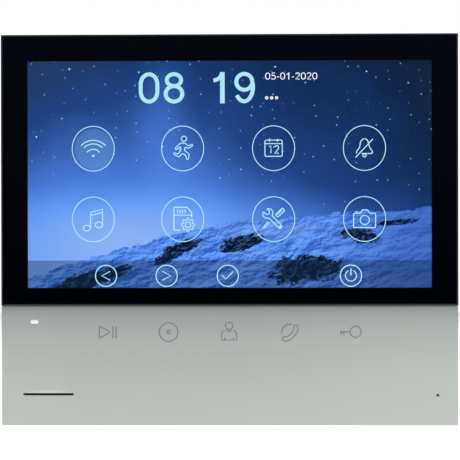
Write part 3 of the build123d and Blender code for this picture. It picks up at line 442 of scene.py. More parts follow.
def night_picture(name, bar_top):
    """Night sky over a snow ridge, with a dark bar along the foot of the screen."""
    shader = Shader(name)
    x, z = shader.axis("X"), shader.axis("Z")
    half = SCREEN_SIZE[0] / 2
    across = shader.ramp(x, -half, half, smooth=False)
    up = shader.ramp(z, SCREEN_BOTTOM, SCREEN_BOTTOM + SCREEN_SIZE[1], smooth=False)

    # Sky: bright over the ridge at the left, dark towards the upper right, with one pale streak.
    level = shader.calc("MULTIPLY", shader.profile(up, SKY_HEIGHT),
                        shader.profile(across, SKY_BREADTH))
    streak = shader.patch(*STREAK)
    level = shader.calc("ADD", level, shader.calc("MULTIPLY", streak, 0.12))
    clouds = shader.noise(26.0, 3.0, 0.5, (1.2, 1, 0.8), 0.5)
    level = shader.calc("ADD", level, shader.ramp(clouds, 0.3, 0.7, -0.02, 0.02))
    sky = shader.palette(level, [(t, display(*c)) for t, c in SKY_STOPS])
    sky = shader.mix(shader.calc("MULTIPLY", shader.patch(*DUSK_LEFT), 0.5), sky,
                     display(48, 62, 84))
    sky = shader.mix(shader.calc("MULTIPLY", shader.patch(*DUSK_RIGHT), 0.5), sky,
                     display(18, 38, 54))

    # The first button is lit from behind.
    lit_button = shader.ramp(shader.patch(RING_XS[0], RING_ZS[0], 8.1, 8.6), 0.0, 0.05)
    sky = shader.mix(shader.calc("MULTIPLY", lit_button, 0.13), sky, display(150, 215, 255))

    # Stars: one soft dot in some cells, more of them where the sky is dark.
    dark_share = shader.ramp(level, 0.75, 0.12)
    sky_only = shader.ramp(z, 4.0, 34.0)
    density = shader.calc("MULTIPLY", shader.ramp(dark_share, 0, 1, 0.16, 0.38), sky_only)
    flat = shader.add("CombineXYZ", {0: x, 1: z}).outputs[0]
    for cell, radius, brightness in ((4.0, 0.24, 0.85), (13.0, 0.33, 1.3)):
        stars = shader.add("TexVoronoi", {"Vector": flat, "Scale": 1 / cell},
                           voronoi_dimensions="2D")
        chance = shader.add("SeparateColor", {0: stars.outputs["Color"]})
        present = shader.calc("LESS_THAN", chance.outputs[0], density)
        dot = shader.ramp(stars.outputs["Distance"], radius / cell, radius * 0.3 / cell)
        light = shader.calc("MULTIPLY", dot, shader.calc("MULTIPLY", present, brightness))
        light = shader.calc("MULTIPLY", light, shader.ramp(chance.outputs[1], 0, 1, 0.3, 1.0))
        sky = shader.mix(light, sky, (0.9, 1.15, 1.5, 1), "ADD")

    # Snow: blue-lit slopes, streaked along the fall of the ridge.
    lumps = shader.noise(6.0, 8.0, 0.62, (1.5, 1, 0.8), -0.25)
    lee = shader.noise(6.0, 8.0, 0.62, (1.5, 1, 0.8), -0.25, (0.35, 0, -0.45))
    relief = shader.ramp(shader.calc("SUBTRACT", lumps, lee), -0.09, 0.09)
    swell = shader.noise(16.0, 3.0, 0.5, (1.6, 1, 0.7), -0.3)
    tone = shader.calc("ADD", shader.calc("MULTIPLY", relief, 0.5), shader.calc("MULTIPLY", swell, 0.5))
    snow = shader.mix(shader.ramp(tone, 0.2, 0.75), display(44, 92, 190), display(104, 160, 250))
    snow = shader.mix(shader.ramp(x, 22.0, 80.0, 0.0, 0.75), snow, display(46, 84, 168))
    snow = shader.mix(shader.calc("MULTIPLY", shader.patch(16, 0, 34, 5, -0.04), 0.3), snow,
                      display(140, 180, 240))
    rocky = shader.patch(*ROCKS[0][:4], math.radians(ROCKS[0][4]))
    for spot in ROCKS[1:]:
        oval = shader.patch(*spot[:4], math.radians(spot[4]))
        rocky = shader.calc("MAXIMUM", rocky, oval)
    broken = shader.noise(5.0, 9.0, 0.78, (1.7, 1, 0.7), -0.35)
    rock_mask = shader.ramp(shader.calc("ADD", shader.calc("MULTIPLY", rocky, 0.36), broken),
                            0.665, 0.69)
    streaks = shader.noise(2.6, 6.0, 0.72, (2.6, 1, 0.6), -0.2)
    rock_mask = shader.calc("MAXIMUM", rock_mask, shader.ramp(streaks, 0.665, 0.69, 0.0, 0.8))
    crags = shader.noise(1.5, 6.0, 0.8, (1.4, 1, 0.7), -0.4)
    rock = shader.mix(shader.ramp(crags, 0.5, 0.62), display(3, 17, 40), display(56, 88, 140))
    ground = shader.mix(rock_mask, snow, rock)

    # The ridge line, roughened, parts the sky from the ground.
    crest = shader.calc("MULTIPLY", shader.profile(across, RIDGE), SCREEN_SIZE[1])
    crest = shader.calc("ADD", crest, shader.ramp(shader.noise(5.0, 5.0, 0.6), 0.3, 0.7, -0.9, 0.9))
    rise = shader.calc("SUBTRACT", shader.calc("SUBTRACT", z, SCREEN_BOTTOM), crest)
    picture = shader.mix(shader.ramp(rise, -0.15, 0.15), ground, sky)

    # The bar along the foot is a dark veil, and the cell is black outside its lit area.
    veil = shader.ramp(z, bar_top + 0.05, bar_top - 0.05, 0.0, 1.0)
    picture = shader.mix(shader.calc("MULTIPLY", veil, 0.5), picture, display(12, 32, 60))
    beyond = shader.calc("GREATER_THAN", shader.calc("ABSOLUTE", x), half + 0.15)
    below = shader.calc("GREATER_THAN", shader.calc("ABSOLUTE", shader.calc("SUBTRACT", z, SCREEN_Z)),
                        SCREEN_SIZE[1] / 2 + 0.15)
    shader.set(Base_Color=(0.0, 0.0, 0.0, 1), Roughness=0.4, Specular_IOR_Level=0.0,
               Emission_Color=shader.mix(shader.calc("MAXIMUM", beyond, below), picture,
                                         display(1, 2, 5)),
               Emission_Strength=SCREEN_GAIN)
    return shader.material


# ------------------------------------------------------------------ modelling helpers
def deselect():
    if bpy.context.object and bpy.context.object.mode != "OBJECT":
        bpy.ops.object.mode_set(mode="OBJECT")
    bpy.ops.object.select_all(action="DESELECT")


def finish_piece(piece, name, material, body=BODY, replaces=()):
    """Names a finished piece, paints it and puts it on its body."""
    deselect()
    piece.select_set(True)
    bpy.context.view_layer.objects.active = piece
    bpy.ops.object.transform_apply(location=True, rotation=True, scale=True)
    piece.name = name
    piece.data.name = name
    if material:
        piece.data.materials.clear()
        piece.data.materials.append(material)
    if replaces:
        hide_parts(*replaces)
    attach(piece, body)
    return piece


def select_edges(test):
    """In edit mode, selects only the edges that pass the test."""
    bpy.ops.mesh.select_mode(type="EDGE")
    bpy.ops.mesh.select_all(action="DESELECT")
    mesh = bmesh.from_edit_mesh(bpy.context.object.data)
    for edge in mesh.edges:
        if test(edge):
            edge.select_set(True)
    mesh.select_flush_mode()
    bmesh.update_edit_mesh(bpy.context.object.data)


def select_faces(test):
    """In edit mode, selects only the faces that pass the test."""
    bpy.ops.mesh.select_mode(type="FACE")
    bpy.ops.mesh.select_all(action="DESELECT")
    mesh = bmesh.from_edit_mesh(bpy.context.object.data)
    for face in mesh.faces:
        if test(face):
            face.select_set(True)
    mesh.select_flush_mode()
    bmesh.update_edit_mesh(bpy.context.object.data)


def rounded_slab(edges, corner, rim, segments=3, ring=0.05):
    """Block with rounded corners seen from the front and softened rims; its broad faces stay flat."""
    left, right, front, back, bottom, top = edges
    deselect()
    bpy.ops.mesh.primitive_cube_add(size=1.0, location=(0, 0, 0))
    slab = bpy.context.object
    slab.dimensions = ((right - left) * MM, (back - front) * MM, (top - bottom) * MM)
    slab.location = ((left + right) / 2 * MM, (front + back) / 2 * MM, (bottom + top) / 2 * MM)
    bpy.ops.object.transform_apply(location=True, rotation=True, scale=True)
    bpy.ops.object.mode_set(mode="EDIT")
    select_edges(lambda edge: abs((edge.verts[0].co - edge.verts[1].co).normalized().y) > 0.9)
    bpy.ops.mesh.bevel(offset=corner * MM, segments=segments + 1, affect="EDGES")
    select_edges(lambda edge: all(abs(v.co.y - front * MM) < 1e-7 for v in edge.verts))
    bpy.ops.mesh.bevel(offset=rim * MM, segments=segments, affect="EDGES")
    select_edges(lambda edge: all(abs(v.co.y - back * MM) < 1e-7 for v in edge.verts))
    bpy.ops.mesh.bevel(offset=rim * 0.4 * MM, segments=2, affect="EDGES")
    for side in (front, back):
        select_faces(lambda face: all(abs(v.co.y - side * MM) < 1e-7 for v in face.verts))
        bpy.ops.mesh.inset(thickness=ring * MM)
    # A ring wider than the corner's radius folds over itself there, so its short edges are drawn in.
    select_edges(lambda edge: edge.calc_length() < ring * MM
                 and any(len(face.verts) > 4 for face in edge.link_faces))
    bpy.ops.mesh.merge(type="COLLAPSE")
    bpy.ops.mesh.select_all(action="SELECT")
    bpy.ops.mesh.normals_make_consistent(inside=False)
    bpy.ops.object.mode_set(mode="OBJECT")
    bpy.ops.object.shade_smooth_by_angle(angle=math.radians(35))
    return slab


def arc(centre, radius, start, end, steps=24, height=None):
    """Points of an arc about (x, z), angles in degrees from +X towards +Z; height makes it oval."""
    x, z = centre
    tall = radius if height is None else height
    turns = [math.radians(start + (end - start) * step / steps) for step in range(steps + 1)]
    return [(x + radius * math.cos(turn), z + tall * math.sin(turn)) for turn in turns]


def ring(centre, radius, steps=48, height=None):
    """Closed round or oval path."""
    return closed(arc(centre, radius, 0, 360 * (1 - 1 / steps), steps - 1, height))


def closed(points):
    return points + [points[0]]


def rounded(points, radius, steps=4, loop=False):
    """Path with its inner corners (or all of them, on a loop) cut to small curves."""
    count = len(points)
    path = [] if loop else [points[0]]
    for index in range(count if loop else count - 2):
        before, corner, after = (Vector(points[(index + k) % count]) for k in range(3))
        into = (before - corner).normalized() * min(radius, (before - corner).length / 2)
        out = (after - corner).normalized() * min(radius, (after - corner).length / 2)
        for step in range(steps + 1):
            t = step / steps
            spot = corner + into * (1 - t) ** 2 + out * t ** 2
            path.append((spot.x, spot.y))
    return closed(path) if loop else path + [points[-1]]


def trace(paths, depth, width, thickness):
    """Flat rounded strokes along (x, z) paths, standing on the plane y = depth."""
    deselect()
    bpy.ops.mesh.primitive_plane_add(size=MM, location=(0, 0, 0))
    drawing = bpy.context.object
    bpy.ops.object.mode_set(mode="EDIT")
    bpy.ops.mesh.delete(type="VERT")
    bpy.ops.mesh.select_mode(type="VERT")
    for path in paths:
        loop = path[0] == path[-1]
        spots = [Vector((x * MM, depth * MM, z * MM)) for x, z in (path[:-1] if loop else path)]
        bpy.ops.mesh.select_all(action="DESELECT")
        bpy.ops.mesh.primitive_plane_add(size=MM, location=spots[0])
        bpy.ops.mesh.merge(type="CENTER")
        for here, there in zip(spots, spots[1:]):
            bpy.ops.mesh.extrude_region_move(TRANSFORM_OT_translate={"value": there - here})
        if loop:
            mesh = bmesh.from_edit_mesh(drawing.data)
            ends = [vert for vert in mesh.verts if len(vert.link_edges) == 1 and not vert.select]
            min(ends, key=lambda vert: (vert.co - spots[0]).length).select_set(True)
            bmesh.update_edit_mesh(drawing.data)
            bpy.ops.mesh.edge_face_add()
    bpy.ops.object.mode_set(mode="OBJECT")
    bpy.ops.object.convert(target="CURVE")
    line = bpy.context.object
    line.data.dimensions = "3D"
    line.data.bevel_depth = width / 2 * MM
    line.data.bevel_resolution = 1
    line.data.use_fill_caps = True
    bpy.ops.object.convert(target="MESH")
    drawing = bpy.context.object
    bpy.ops.object.mode_set(mode="EDIT")
    bpy.ops.mesh.select_all(action="SELECT")
    bpy.ops.transform.resize(value=(1, thickness / width, 1), center_override=(0, depth * MM, 0))
    bpy.ops.mesh.normals_make_consistent(inside=False)
    bpy.ops.object.mode_set(mode="OBJECT")
    bpy.ops.object.shade_smooth_by_angle(angle=math.radians(50))
    return drawing


def moved(paths, x, z, scale=1.0):
    """Paths drawn about the origin, put at (x, z)."""
    return [[(x + px * scale, z + pz * scale) for px, pz in path] for path in paths]


# ------------------------------------------------------------------ screen icons, about their own centre
def wifi_icon():
    waves = [arc((0, -3.1), radius, 90 - spread, 90 + spread, 18)
             for radius, spread in ((6.3, 48), (4.95, 46), (2.9, 56))]
    return waves + [ring((0.0, -2.75), 0.26, 12)]


def runner_icon():
    head = ring((0.5, 3.7), 0.98, 20)
    body = rounded([(0.3, 2.1), (-0.7, 2.1), (-2.9, 0.1), (-2.5, -0.6), (-0.8, 0.8), (-0.7, -0.8),
                    (-1.9, -2.2), (-3.1, -1.5), (-3.6, -2.1), (-1.4, -3.3), (-0.2, -1.9),
                    (1.2, -2.6), (1.5, -4.2), (2.2, -4.2), (2.5, -2.1), (0.7, -0.8), (0.8, 0.5),
                    (2.3, 0.0), (3.9, 1.1), (3.5, 1.6), (2.1, 0.9), (1.2, 1.9)], 0.45, 3, True)
    return [head, body]


def calendar_icon():
    sheet = rounded([(-3.3, 3.1), (3.3, 3.1), (3.3, -3.1), (-3.3, -3.1)], 0.6, 3, True)
    one = [(-1.65, 0.55), (-1.0, 1.0), (-1.0, -1.9)]
    two = rounded([(0.45, 0.4), (0.75, 1.0), (1.7, 1.0), (2.0, 0.1), (1.5, -0.7), (0.4, -1.9)], 0.5) \
        + [(2.0, -1.9)]
    return [sheet, [(-3.3, 1.75), (3.3, 1.75)], [(-1.5, 3.6), (-1.5, 2.5)], [(1.5, 3.6), (1.5, 2.5)],
            one, two]


def bell_icon():
    left = rounded([(-0.1, 3.6), (-1.3, 2.9), (-1.7, 1.4), (-1.8, 0.3), (-3.1, -1.4), (-3.0, -2.1)],
                   0.7)
    right = rounded([(0.1, 3.6), (1.2, 3.0), (1.6, 1.6), (1.9, 0.3), (3.1, -1.4), (3.0, -2.1),
                     (-1.2, -2.1)], 0.7)
    return [left, right, ring((0, -2.85), 0.6, 14), [(-3.4, -3.6), (3.2, 3.4)]]


def note_icon():
    return [ring((-2.5, -3.35), 1.4, 24, 1.1), ring((2.1, -2.1), 1.4, 24, 1.1),
            [(-1.05, -3.2), (-1.05, 2.7), (3.55, 3.9), (3.55, -2.0)],
            [(-1.05, 1.5), (3.55, 2.7)]]


def gear_path(centre, inner, outer, teeth):
    points = []
    for tooth in range(teeth):
        turn = 360 * tooth / teeth
        half = 180 / teeth
        for radius, angle in ((inner, -0.62), (outer, -0.34), (outer, 0.34), (inner, 0.62)):
            a = math.radians(turn + angle * half)
            points.append((centre[0] + radius * math.cos(a), centre[1] + radius * math.sin(a)))
    return closed(points)


def card_icon():
    outline = rounded([(3.4, 0.6), (3.4, 2.7), (1.6, 4.6), (-3.4, 4.6), (-3.4, -4.2), (-0.8, -4.2)],
                      0.5)
    contacts = [[(x, 3.75), (x, 2.35)] for x in (-1.95, -1.0, -0.05, 0.9)]
    return [outline, [(-3.4, 1.6), (3.4, 1.6)], *contacts, gear_path((2.0, -2.1), 1.85, 2.55, 8),
            ring((2.0, -2.1), 1.05, 18)]


def tools_icon():
    wrench = rounded([(-0.6, 1.3), (3.3, -2.7), (2.3, -3.7), (-1.7, 0.3), (-3.4, 0.5), (-4.3, 1.7),
                      (-3.9, 2.9), (-2.8, 1.7), (-1.6, 2.2), (-1.6, 3.1), (-2.7, 4.0), (-1.0, 3.9),
                      (-0.2, 2.7)], 0.4, 3, True)
    driver = rounded([(0.6, 1.6), (1.6, 0.8), (4.3, 3.3), (3.3, 4.3)], 0.4, 3, True)
    tip = rounded([(-1.5, -1.2), (-2.6, -2.4), (-3.9, -3.6), (-3.3, -2.2), (-2.2, -1.0)], 0.3)
    return [wrench, driver, tip, ring((2.55, -2.95), 0.3, 10), [(1.4, 1.7), (3.3, 3.6)]]


def camera_icon():
    case = rounded([(-4.2, 2.2), (-1.6, 2.2), (-0.9, 3.5), (1.1, 3.5), (1.8, 2.2), (4.2, 2.2),
                    (4.2, -3.3), (-4.2, -3.3)], 0.4, 3, True)
    return [case, ring((0.1, -0.4), 1.75, 28), [(-3.6, 2.7), (-2.5, 2.7)]]


def digit(figure):
    """Centre lines of a digit's strokes in a box 1 wide and 2 high."""
    return {
        "0": [closed(arc((0.5, 1.27), 0.5, 0, 180, 24, 0.73)
                     + arc((0.5, 0.73), 0.5, 180, 360, 24, 0.73))],
        "1": [[(0.6, -0.15), (0.6, 2.14)], arc((0.0, 2.08), 0.57, -2, -84, 12, 0.55)],
        "8": [ring((0.5, 1.565), 0.43, 40, 0.435), ring((0.5, 0.565), 0.5, 40, 0.565)],
        "2": [arc((0.5, 1.47), 0.46, 165, -20, 20, 0.53) + [(0.04, 0.0), (1.0, 0.0)]],
        "5": [[(0.9, 2.0), (0.22, 2.0)] + arc((0.44, 0.62), 0.54, 128, -150, 26, 0.62)],
        "-": [[(0.0, 0.72), (0.45, 0.72)]],
        "9": [ring((0.48, 1.42), 0.48, 44, 0.58), arc((0.47, 1.05), 0.53, 16, -145, 36, 1.05)],
    }[figure]


def figures(row, foot, width, height, line):
    """Stroke paths of (digit, left edge) pairs that stand on one foot line."""
    paths = []
    for figure, left in row:
        x, z = on_screen(left, foot)
        paths += [[(x + line / 2 + px * (width - line), z + line / 2 + pz / 2 * (height - line))
                   for px, pz in path] for path in digit(figure)]
    return paths


# ------------------------------------------------------------------ operators: the screen
ICON_LIFT = 0.03       # icons stand this far in front of the picture
ICON_THICKNESS = 0.04
BEHIND_GLASS = 1.0042  # the picture lies behind the glass, so its icons are spread by this much


def on_screen(x, z):
    return x * BEHIND_GLASS, z * BEHIND_GLASS


class MONITOR_OT_screen_picture(Operator):
    """Adds the screen's cell with its lit picture"""
    bl_idname = "monitor.screen_picture"
    bl_label = "Screen Picture"

    def execute(self, context):
        settings = context.scene.monitor_screen
        cell = rounded_slab(CELL, 0.4, 0.05, 2)
        bar_top = SCREEN_BOTTOM + settings.bar_height / MM
        picture = night_picture("lit night picture", bar_top)
        edge = see_through("cell edge glass", (0.10, 0.12, 0.13), 1.0, 0.15)
        finish_piece(cell, "screen_picture", picture, replaces=("screen_cell",))
        cell.data.materials.append(edge)
        for face in cell.data.polygons:
            face.material_index = 0 if face.normal.dot(FACE_NORMAL) > 0.9 else 1
        return {"FINISHED"}


class MONITOR_OT_clock(Operator):
    """Adds the clock's digits, the date and the day's mark"""
    bl_idname = "monitor.clock"
    bl_label = "Clock And Date"

    def execute(self, context):
        settings = context.scene.monitor_screen
        depth = CELL[2] - ICON_LIFT
        line = settings.digit_line / MM
        clock = [(figure, left) for figure, left in zip("0819", (-34.5, -25.0, -7.2, 1.9))]
        digits = trace(figures(clock, 48.05, 8.1, 12.2, line), depth, line, ICON_THICKNESS)
        finish_piece(digits, "clock_digits", glow("clock light", settings.digit_colour))

        date, left = [], 13.75
        for figure in "05-01-2020":
            date.append((figure, left))
            left += 1.31 if figure == "-" else 2.18
        line = settings.date_line / MM
        digits = trace(figures(date, 57.1, 1.95, 2.75, line), depth, line, ICON_THICKNESS)
        finish_piece(digits, "date_digits", glow("date light", settings.date_colour))
        dots = [ring(on_screen(14.3 + 1.9 * step, 50.2), 0.42, 14) for step in range(3)]
        marks = trace(dots, depth, 0.5, ICON_THICKNESS)
        finish_piece(marks, "day_dots", glow("day light", settings.date_colour))
        return {"FINISHED"}


RING_XS = (-51.8, -17.7, 16.9, 51.4)
RING_ZS = (31.05, 4.1)
ICONS = {
    "icon_wifi": (wifi_icon, 0, 0), "icon_runner": (runner_icon, 1, 0),
    "icon_calendar": (calendar_icon, 2, 0), "icon_bell": (bell_icon, 3, 0),
    "icon_note": (note_icon, 0, 1), "icon_card": (card_icon, 1, 1),
    "icon_tools": (tools_icon, 2, 1), "icon_camera": (camera_icon, 3, 1),
}


class MONITOR_OT_function_icons(Operator):
    """Adds the eight function icons and the rings round them"""
    bl_idname = "monitor.function_icons"
    bl_label = "Function Icons"

    def execute(self, context):
        settings = context.scene.monitor_screen
        light = glow("icon light", settings.icon_colour)
        depth, line = CELL[2] - ICON_LIFT, settings.line / MM
        half_wide, half_tall = settings.ring_width / 2 / MM, settings.ring_height / 2 / MM
        rings = [ring(on_screen(x, z), half_wide, 72, half_tall) for z in RING_ZS for x in RING_XS]
        finish_piece(trace(rings, depth, line * 0.8, ICON_THICKNESS), "icon_rings", light)
        for name, (draw, column, row) in ICONS.items():
            paths = moved(draw(), *on_screen(RING_XS[column], RING_ZS[row]))
            finish_piece(trace(paths, depth, line, ICON_THICKNESS), name, light)
        return {"FINISHED"}


BAR_Z = -17.4
BAR_RADIUS = 4.05
BAR_ICONS = {
    "bar_back": (-47.0, [[(1.6, 1.7), (-1.7, 0.0), (1.6, -1.7)]]),
    "bar_next": (-23.9, [[(-1.6, 1.7), (1.7, 0.0), (-1.6, -1.7)]]),
    "bar_confirm": (-0.6, [[(-2.2, 0.2), (-0.8, -1.3), (2.1, 1.6)]]),
    "bar_power": (46.2, [arc((0, 0), 2.1, 65, -245, 36), [(0, 0.1), (0, 2.7)]]),
}


class MONITOR_OT_bar_icons(Operator):
    """Adds the small round icons on the screen's lower bar"""
    bl_idname = "monitor.bar_icons"
    bl_label = "Bar Icons"

    def execute(self, context):
        settings = context.scene.monitor_screen
        light = glow("bar icon light", settings.icon_colour)
        for name, (x, marks) in BAR_ICONS.items():
            paths = moved([ring((0, 0), BAR_RADIUS), *marks], *on_screen(x, BAR_Z))
            drawn = trace(paths, CELL[2] - ICON_LIFT, settings.line / MM, ICON_THICKNESS)
            finish_piece(drawn, name, light)
        return {"FINISHED"}


# ------------------------------------------------------------------ operators: glass, panel and casing
class MONITOR_OT_front_glass(Operator):
    """Adds the cover glass, with a ground rim that is blackened like the print behind it"""
    bl_idname = "monitor.front_glass"
    bl_label = "Front Glass"

    def execute(self, context):
        left, right, front, back, bottom, top = GLASS
        glass = rounded_slab((left, right, front, back, bottom + JOINT_TRIM, top), 0.25, 0.12, ring=0.6)
        finish_piece(glass, "front_glass", clear_glass("cover glass"),
                     replaces=("cover_glass",))
        rim = moulded("blackened glass rim", (0.0012, 0.0014, 0.002), 0.5, 0.04, 0.0005)
        glass.data.materials.append(rim)
        for face in glass.data.polygons:
            clear = abs(face.normal.y) > 0.99 and face.area > 1e-3
            face.material_index = 0 if clear else 1
        return {"FINISHED"}


KEY_XS = (-46.3, -23.15, -0.1, 23.15, 46.0)
KEY_Z = -38.9


def play_mark():
    triangle = rounded([(-3.3, 2.4), (-3.3, -2.4), (0.9, 0.0)], 0.55, 4, True)
    return [triangle, [(1.9, 2.3), (1.9, -2.3)], [(3.1, 2.3), (3.1, -2.3)]]


def record_mark():
    return [ring((0, 0), 3.55), rounded([(-0.55, 0.55), (0.55, 0.55), (0.55, -0.55), (-0.55, -0.55)],
                                        0.25, 2, True)]


def person_mark():
    left = arc((-1.3, -0.9), 1.55, 100, 180, 8)
    right = arc((1.3, -0.9), 1.55, 0, 80, 8)
    shoulders = left + [(-2.85, -3.0), (2.85, -3.0)] + right
    return [ring((0, 2.4), 1.4, 32), shoulders, [(-1.7, -2.9), (-1.7, -2.1)],
            [(1.7, -2.9), (1.7, -2.1)], arc((0, 1.5), 1.2, -140, -40, 10)]


def handset_mark():
    handset = rounded([(1.5, 2.85), (3.1, 2.25), (3.0, 0.35), (0.6, -2.65), (-1.6, -3.65),
                       (-3.1, -2.85), (-2.9, -1.75), (-1.2, -1.85), (0.6, -0.45), (1.4, 1.15)],
                      0.7, 4, True)
    return [handset, arc((-0.1, -0.1), 3.1, 75, 190, 24)]


def key_mark():
    return [ring((2.05, 0.1), 2.1, 40), [(-0.05, 0.1), (-3.9, 0.1)], [(-2.4, 0.1), (-2.4, -1.1)],
            [(-3.5, 0.1), (-3.5, -1.1)]]


MARKS = {"mark_play": play_mark, "mark_record": record_mark, "mark_person": person_mark,
         "mark_handset": handset_mark, "mark_key": key_mark}


class MONITOR_OT_panel_lip(Operator):
    """Adds the rolled lip along the key panel's top edge, just under the glass"""
    bl_idname = "monitor.panel_lip"
    bl_label = "Panel Lip"

    def execute(self, context):
        case = context.scene.monitor_case
        left, right, front, back, bottom, top = PANEL
        lip = rounded_slab((left, right, front, back, top, top + LIP_HEIGHT), 0.08, 0.05)
        silver = silver_face("silver panel lip", case.panel_shaded_top, case.panel_low)
        finish_piece(lip, "panel_lip", silver)
        return {"FINISHED"}


class MONITOR_OT_key_marks(Operator):
    """Prints the five touch-key marks on the panel"""
    bl_idname = "monitor.key_marks"
    bl_label = "Key Marks"

    def execute(self, context):
        settings = context.scene.monitor_case
        paint = ink("key mark ink", settings.mark_colour)
        for (name, draw), x in zip(MARKS.items(), KEY_XS):
            drawn = trace(moved(draw(), x, KEY_Z), PANEL[2], settings.mark_line / MM, 0.04)
            finish_piece(drawn, name, paint)
        return {"FINISHED"}


class MONITOR_OT_openings(Operator):
    """Lines the mouths of the speaker slit and the microphone hole in black, as painted shade"""
    bl_idname = "monitor.openings"
    bl_label = "Slit And Hole Shade Lining"

    def execute(self, context):
        # Painted shade: black rings inside the openings' mouths, where their walls lie in shade.
        shade_lining = soft_rubber("black shade lining", (0.004, 0.004, 0.005))
        slit_x, slit_z = (SLIT[0] + SLIT[1]) / 2, (SLIT[4] + SLIT[5]) / 2
        half, radius = 19.3 / 2, 0.85 / 2
        outline = closed(arc((slit_x + half - radius, slit_z), radius - 0.09, -90, 90, 8)
                         + arc((slit_x - half + radius, slit_z), radius - 0.09, 90, 270, 8))
        finish_piece(trace([outline], PANEL[2], 0.22, 0.08), "slit_rim", shade_lining)
        hole = ((MICROPHONE[0] + MICROPHONE[1]) / 2, (MICROPHONE[4] + MICROPHONE[5]) / 2)
        finish_piece(trace([ring(hole, 0.4, 24)], PANEL[2], 0.22, 0.08), "microphone_rim", shade_lining)
        return {"FINISHED"}


LABEL_LINES = ((57.0, 9.0), (55.4, 18.0), (53.8, 16.0), (52.2, 18.0), (50.6, 12.0))   # height, length
LABEL_BARS = (0.3, 0.15, 0.3, 0.5, 0.15, 0.3, 0.15, 0.5, 0.3, 0.15, 0.5, 0.15, 0.3, 0.3, 0.15, 0.5)


class MONITOR_OT_label_print(Operator):
    """Prints plain rules and bars, with no words, on the label at the back"""
    bl_idname = "monitor.label_print"
    bl_label = "Label Print"

    def execute(self, context):
        edge = LABEL[1] - 2.5
        rules = [[(edge, height), (edge - length, height)] for height, length in LABEL_LINES]
        bars = []
        place = -5.0
        for width in LABEL_BARS:
            bars.append([(place, 50.5), (place, 56.5)])
            place -= 0.5 + width
        printed = trace(rules + bars, LABEL[3], 0.3, 0.03)
        finish_piece(printed, "label_print", ink("label print ink", (0.05, 0.05, 0.055)))
        return {"FINISHED"}


# ------------------------------------------------------------------ finishes of the carried-over nodes
def node_finishes(case):
    """Material for each CAD node that stays, by finish."""
    return [
        (zinc_plate("zinc-plated sheet", (0.66, 0.67, 0.68)), ["wall_bracket"]),
        (moulded("rear cover plastic", case.cover_colour, 0.52, 0.3, 0.02), ["rear_cover"]),
        (moulded("silver casing", case.frame_colour, 0.4, 0.12, 0.004, 0.03), ["front_frame"]),
        (silver_face("silver key panel", case.panel_shaded_top, case.panel_low), ["key_panel"]),
        (ink("black border ink", (0.0008, 0.0009, 0.0014), 0.6, 0.0), ["border_print"]),
        (ink("black tape", (0.02, 0.02, 0.02), 0.7), ["glass_tape", "panel_tape"]),
        (see_through("touch film", (0.3, 0.32, 0.36), 0.004, 0.1, 0.0), ["touch_sensor"]),
        (soft_rubber("black foam", (0.02, 0.02, 0.02)), ["screen_gasket", "speaker_gasket"]),
        (sheet_metal("module steel", (0.56, 0.57, 0.58)),
         ["screen_frame", "screen_tray", "chassis_plate", "speaker_basket", "microphone",
          "wifi_module"]),
        (moulded("diffuser film", (0.86, 0.86, 0.86), 0.6, 0.2, 0.004, 0.02), ["diffuser_sheets"]),
        (see_through("light guide acrylic", (0.9, 0.94, 0.95), 0.35), ["light_guide"]),
        (moulded("white lamp strip", (0.8, 0.8, 0.78), 0.45, 0.2, 0.004, 0.03), ["backlight_strip"]),
        (moulded("milky key light guides", (0.8, 0.81, 0.83), 0.35, 0.3, 0.003, 0.02),
         ["key_light_guides"]),
        (board("green circuit board", (0.015, 0.14, 0.055)), ["main_board", "key_board",
                                                               "aerial_board"]),
        (glow("lit white lamp", (0.88, 0.92, 0.93), 1.0), ["key_lamps", "status_light_pipe"]),
        (cloth_mesh("speaker cloth", (0.012, 0.012, 0.012)), ["slit_mesh"]),
        (soft_rubber("speaker paper", (0.03, 0.03, 0.03), 0.8), ["speaker_cone"]),
        (moulded("ferrite and yoke", (0.11, 0.11, 0.12), 0.5, 0.4, 0.01), ["speaker_magnet",
                                                                           "power_coils"]),
        (soft_rubber("black rubber", (0.022, 0.022, 0.022)), ["microphone_boot"]),
        (moulded("chip epoxy", (0.025, 0.025, 0.027), 0.55, 0.2, 0.006), ["processor",
                                                                         "memory_chips"]),
        (sheet_metal("anodised cooler", (0.2, 0.21, 0.23), 0.4), ["heat_spreader"]),
        (sheet_metal("bright plated steel", (0.72, 0.72, 0.73), 0.22),
         ["capacitors", "backup_cell", "card_socket", "board_screws", "chassis_screws"]),
        (soft_rubber("thin cable skin", (0.02, 0.02, 0.022), 0.5),
         ["aerial_cable", "speaker_leads", "microphone_leads"]),
        (moulded("black nylon", (0.03, 0.03, 0.032), 0.5), ["cell_clip", "reset_switch",
                                                             "reset_button"]),
        (moulded("memory card plastic", (0.03, 0.031, 0.034), 0.42, 0.15, 0.004), ["memory_card"]),
        (moulded("natural nylon", (0.74, 0.72, 0.66), 0.42, 0.5, 0.004, 0.03),
         ["door_headers", "camera_headers", "board_sockets"]),
        (moulded("red nylon", (0.42, 0.03, 0.022), 0.42, 0.5, 0.004, 0.05), ["link_header",
                                                                             "power_header"]),
        (sheet_metal("tinned pins", (0.75, 0.73, 0.68), 0.2, (1, 20, 1)), ["header_pins"]),
        (moulded("amber film", (0.42, 0.17, 0.02), 0.3, 1.0, 0.004), ["screen_flex", "touch_flex",
                                                                      "key_ribbon"]),
        (soft_rubber("pad rubber", (0.025, 0.025, 0.025)), ["wall_pads"]),
        (sheet_metal("label foil", (0.6, 0.61, 0.62), 0.4), ["rating_label"]),
        (sheet_metal("black oxide screws", (0.05, 0.05, 0.052), 0.35), ["case_screws"]),
    ]


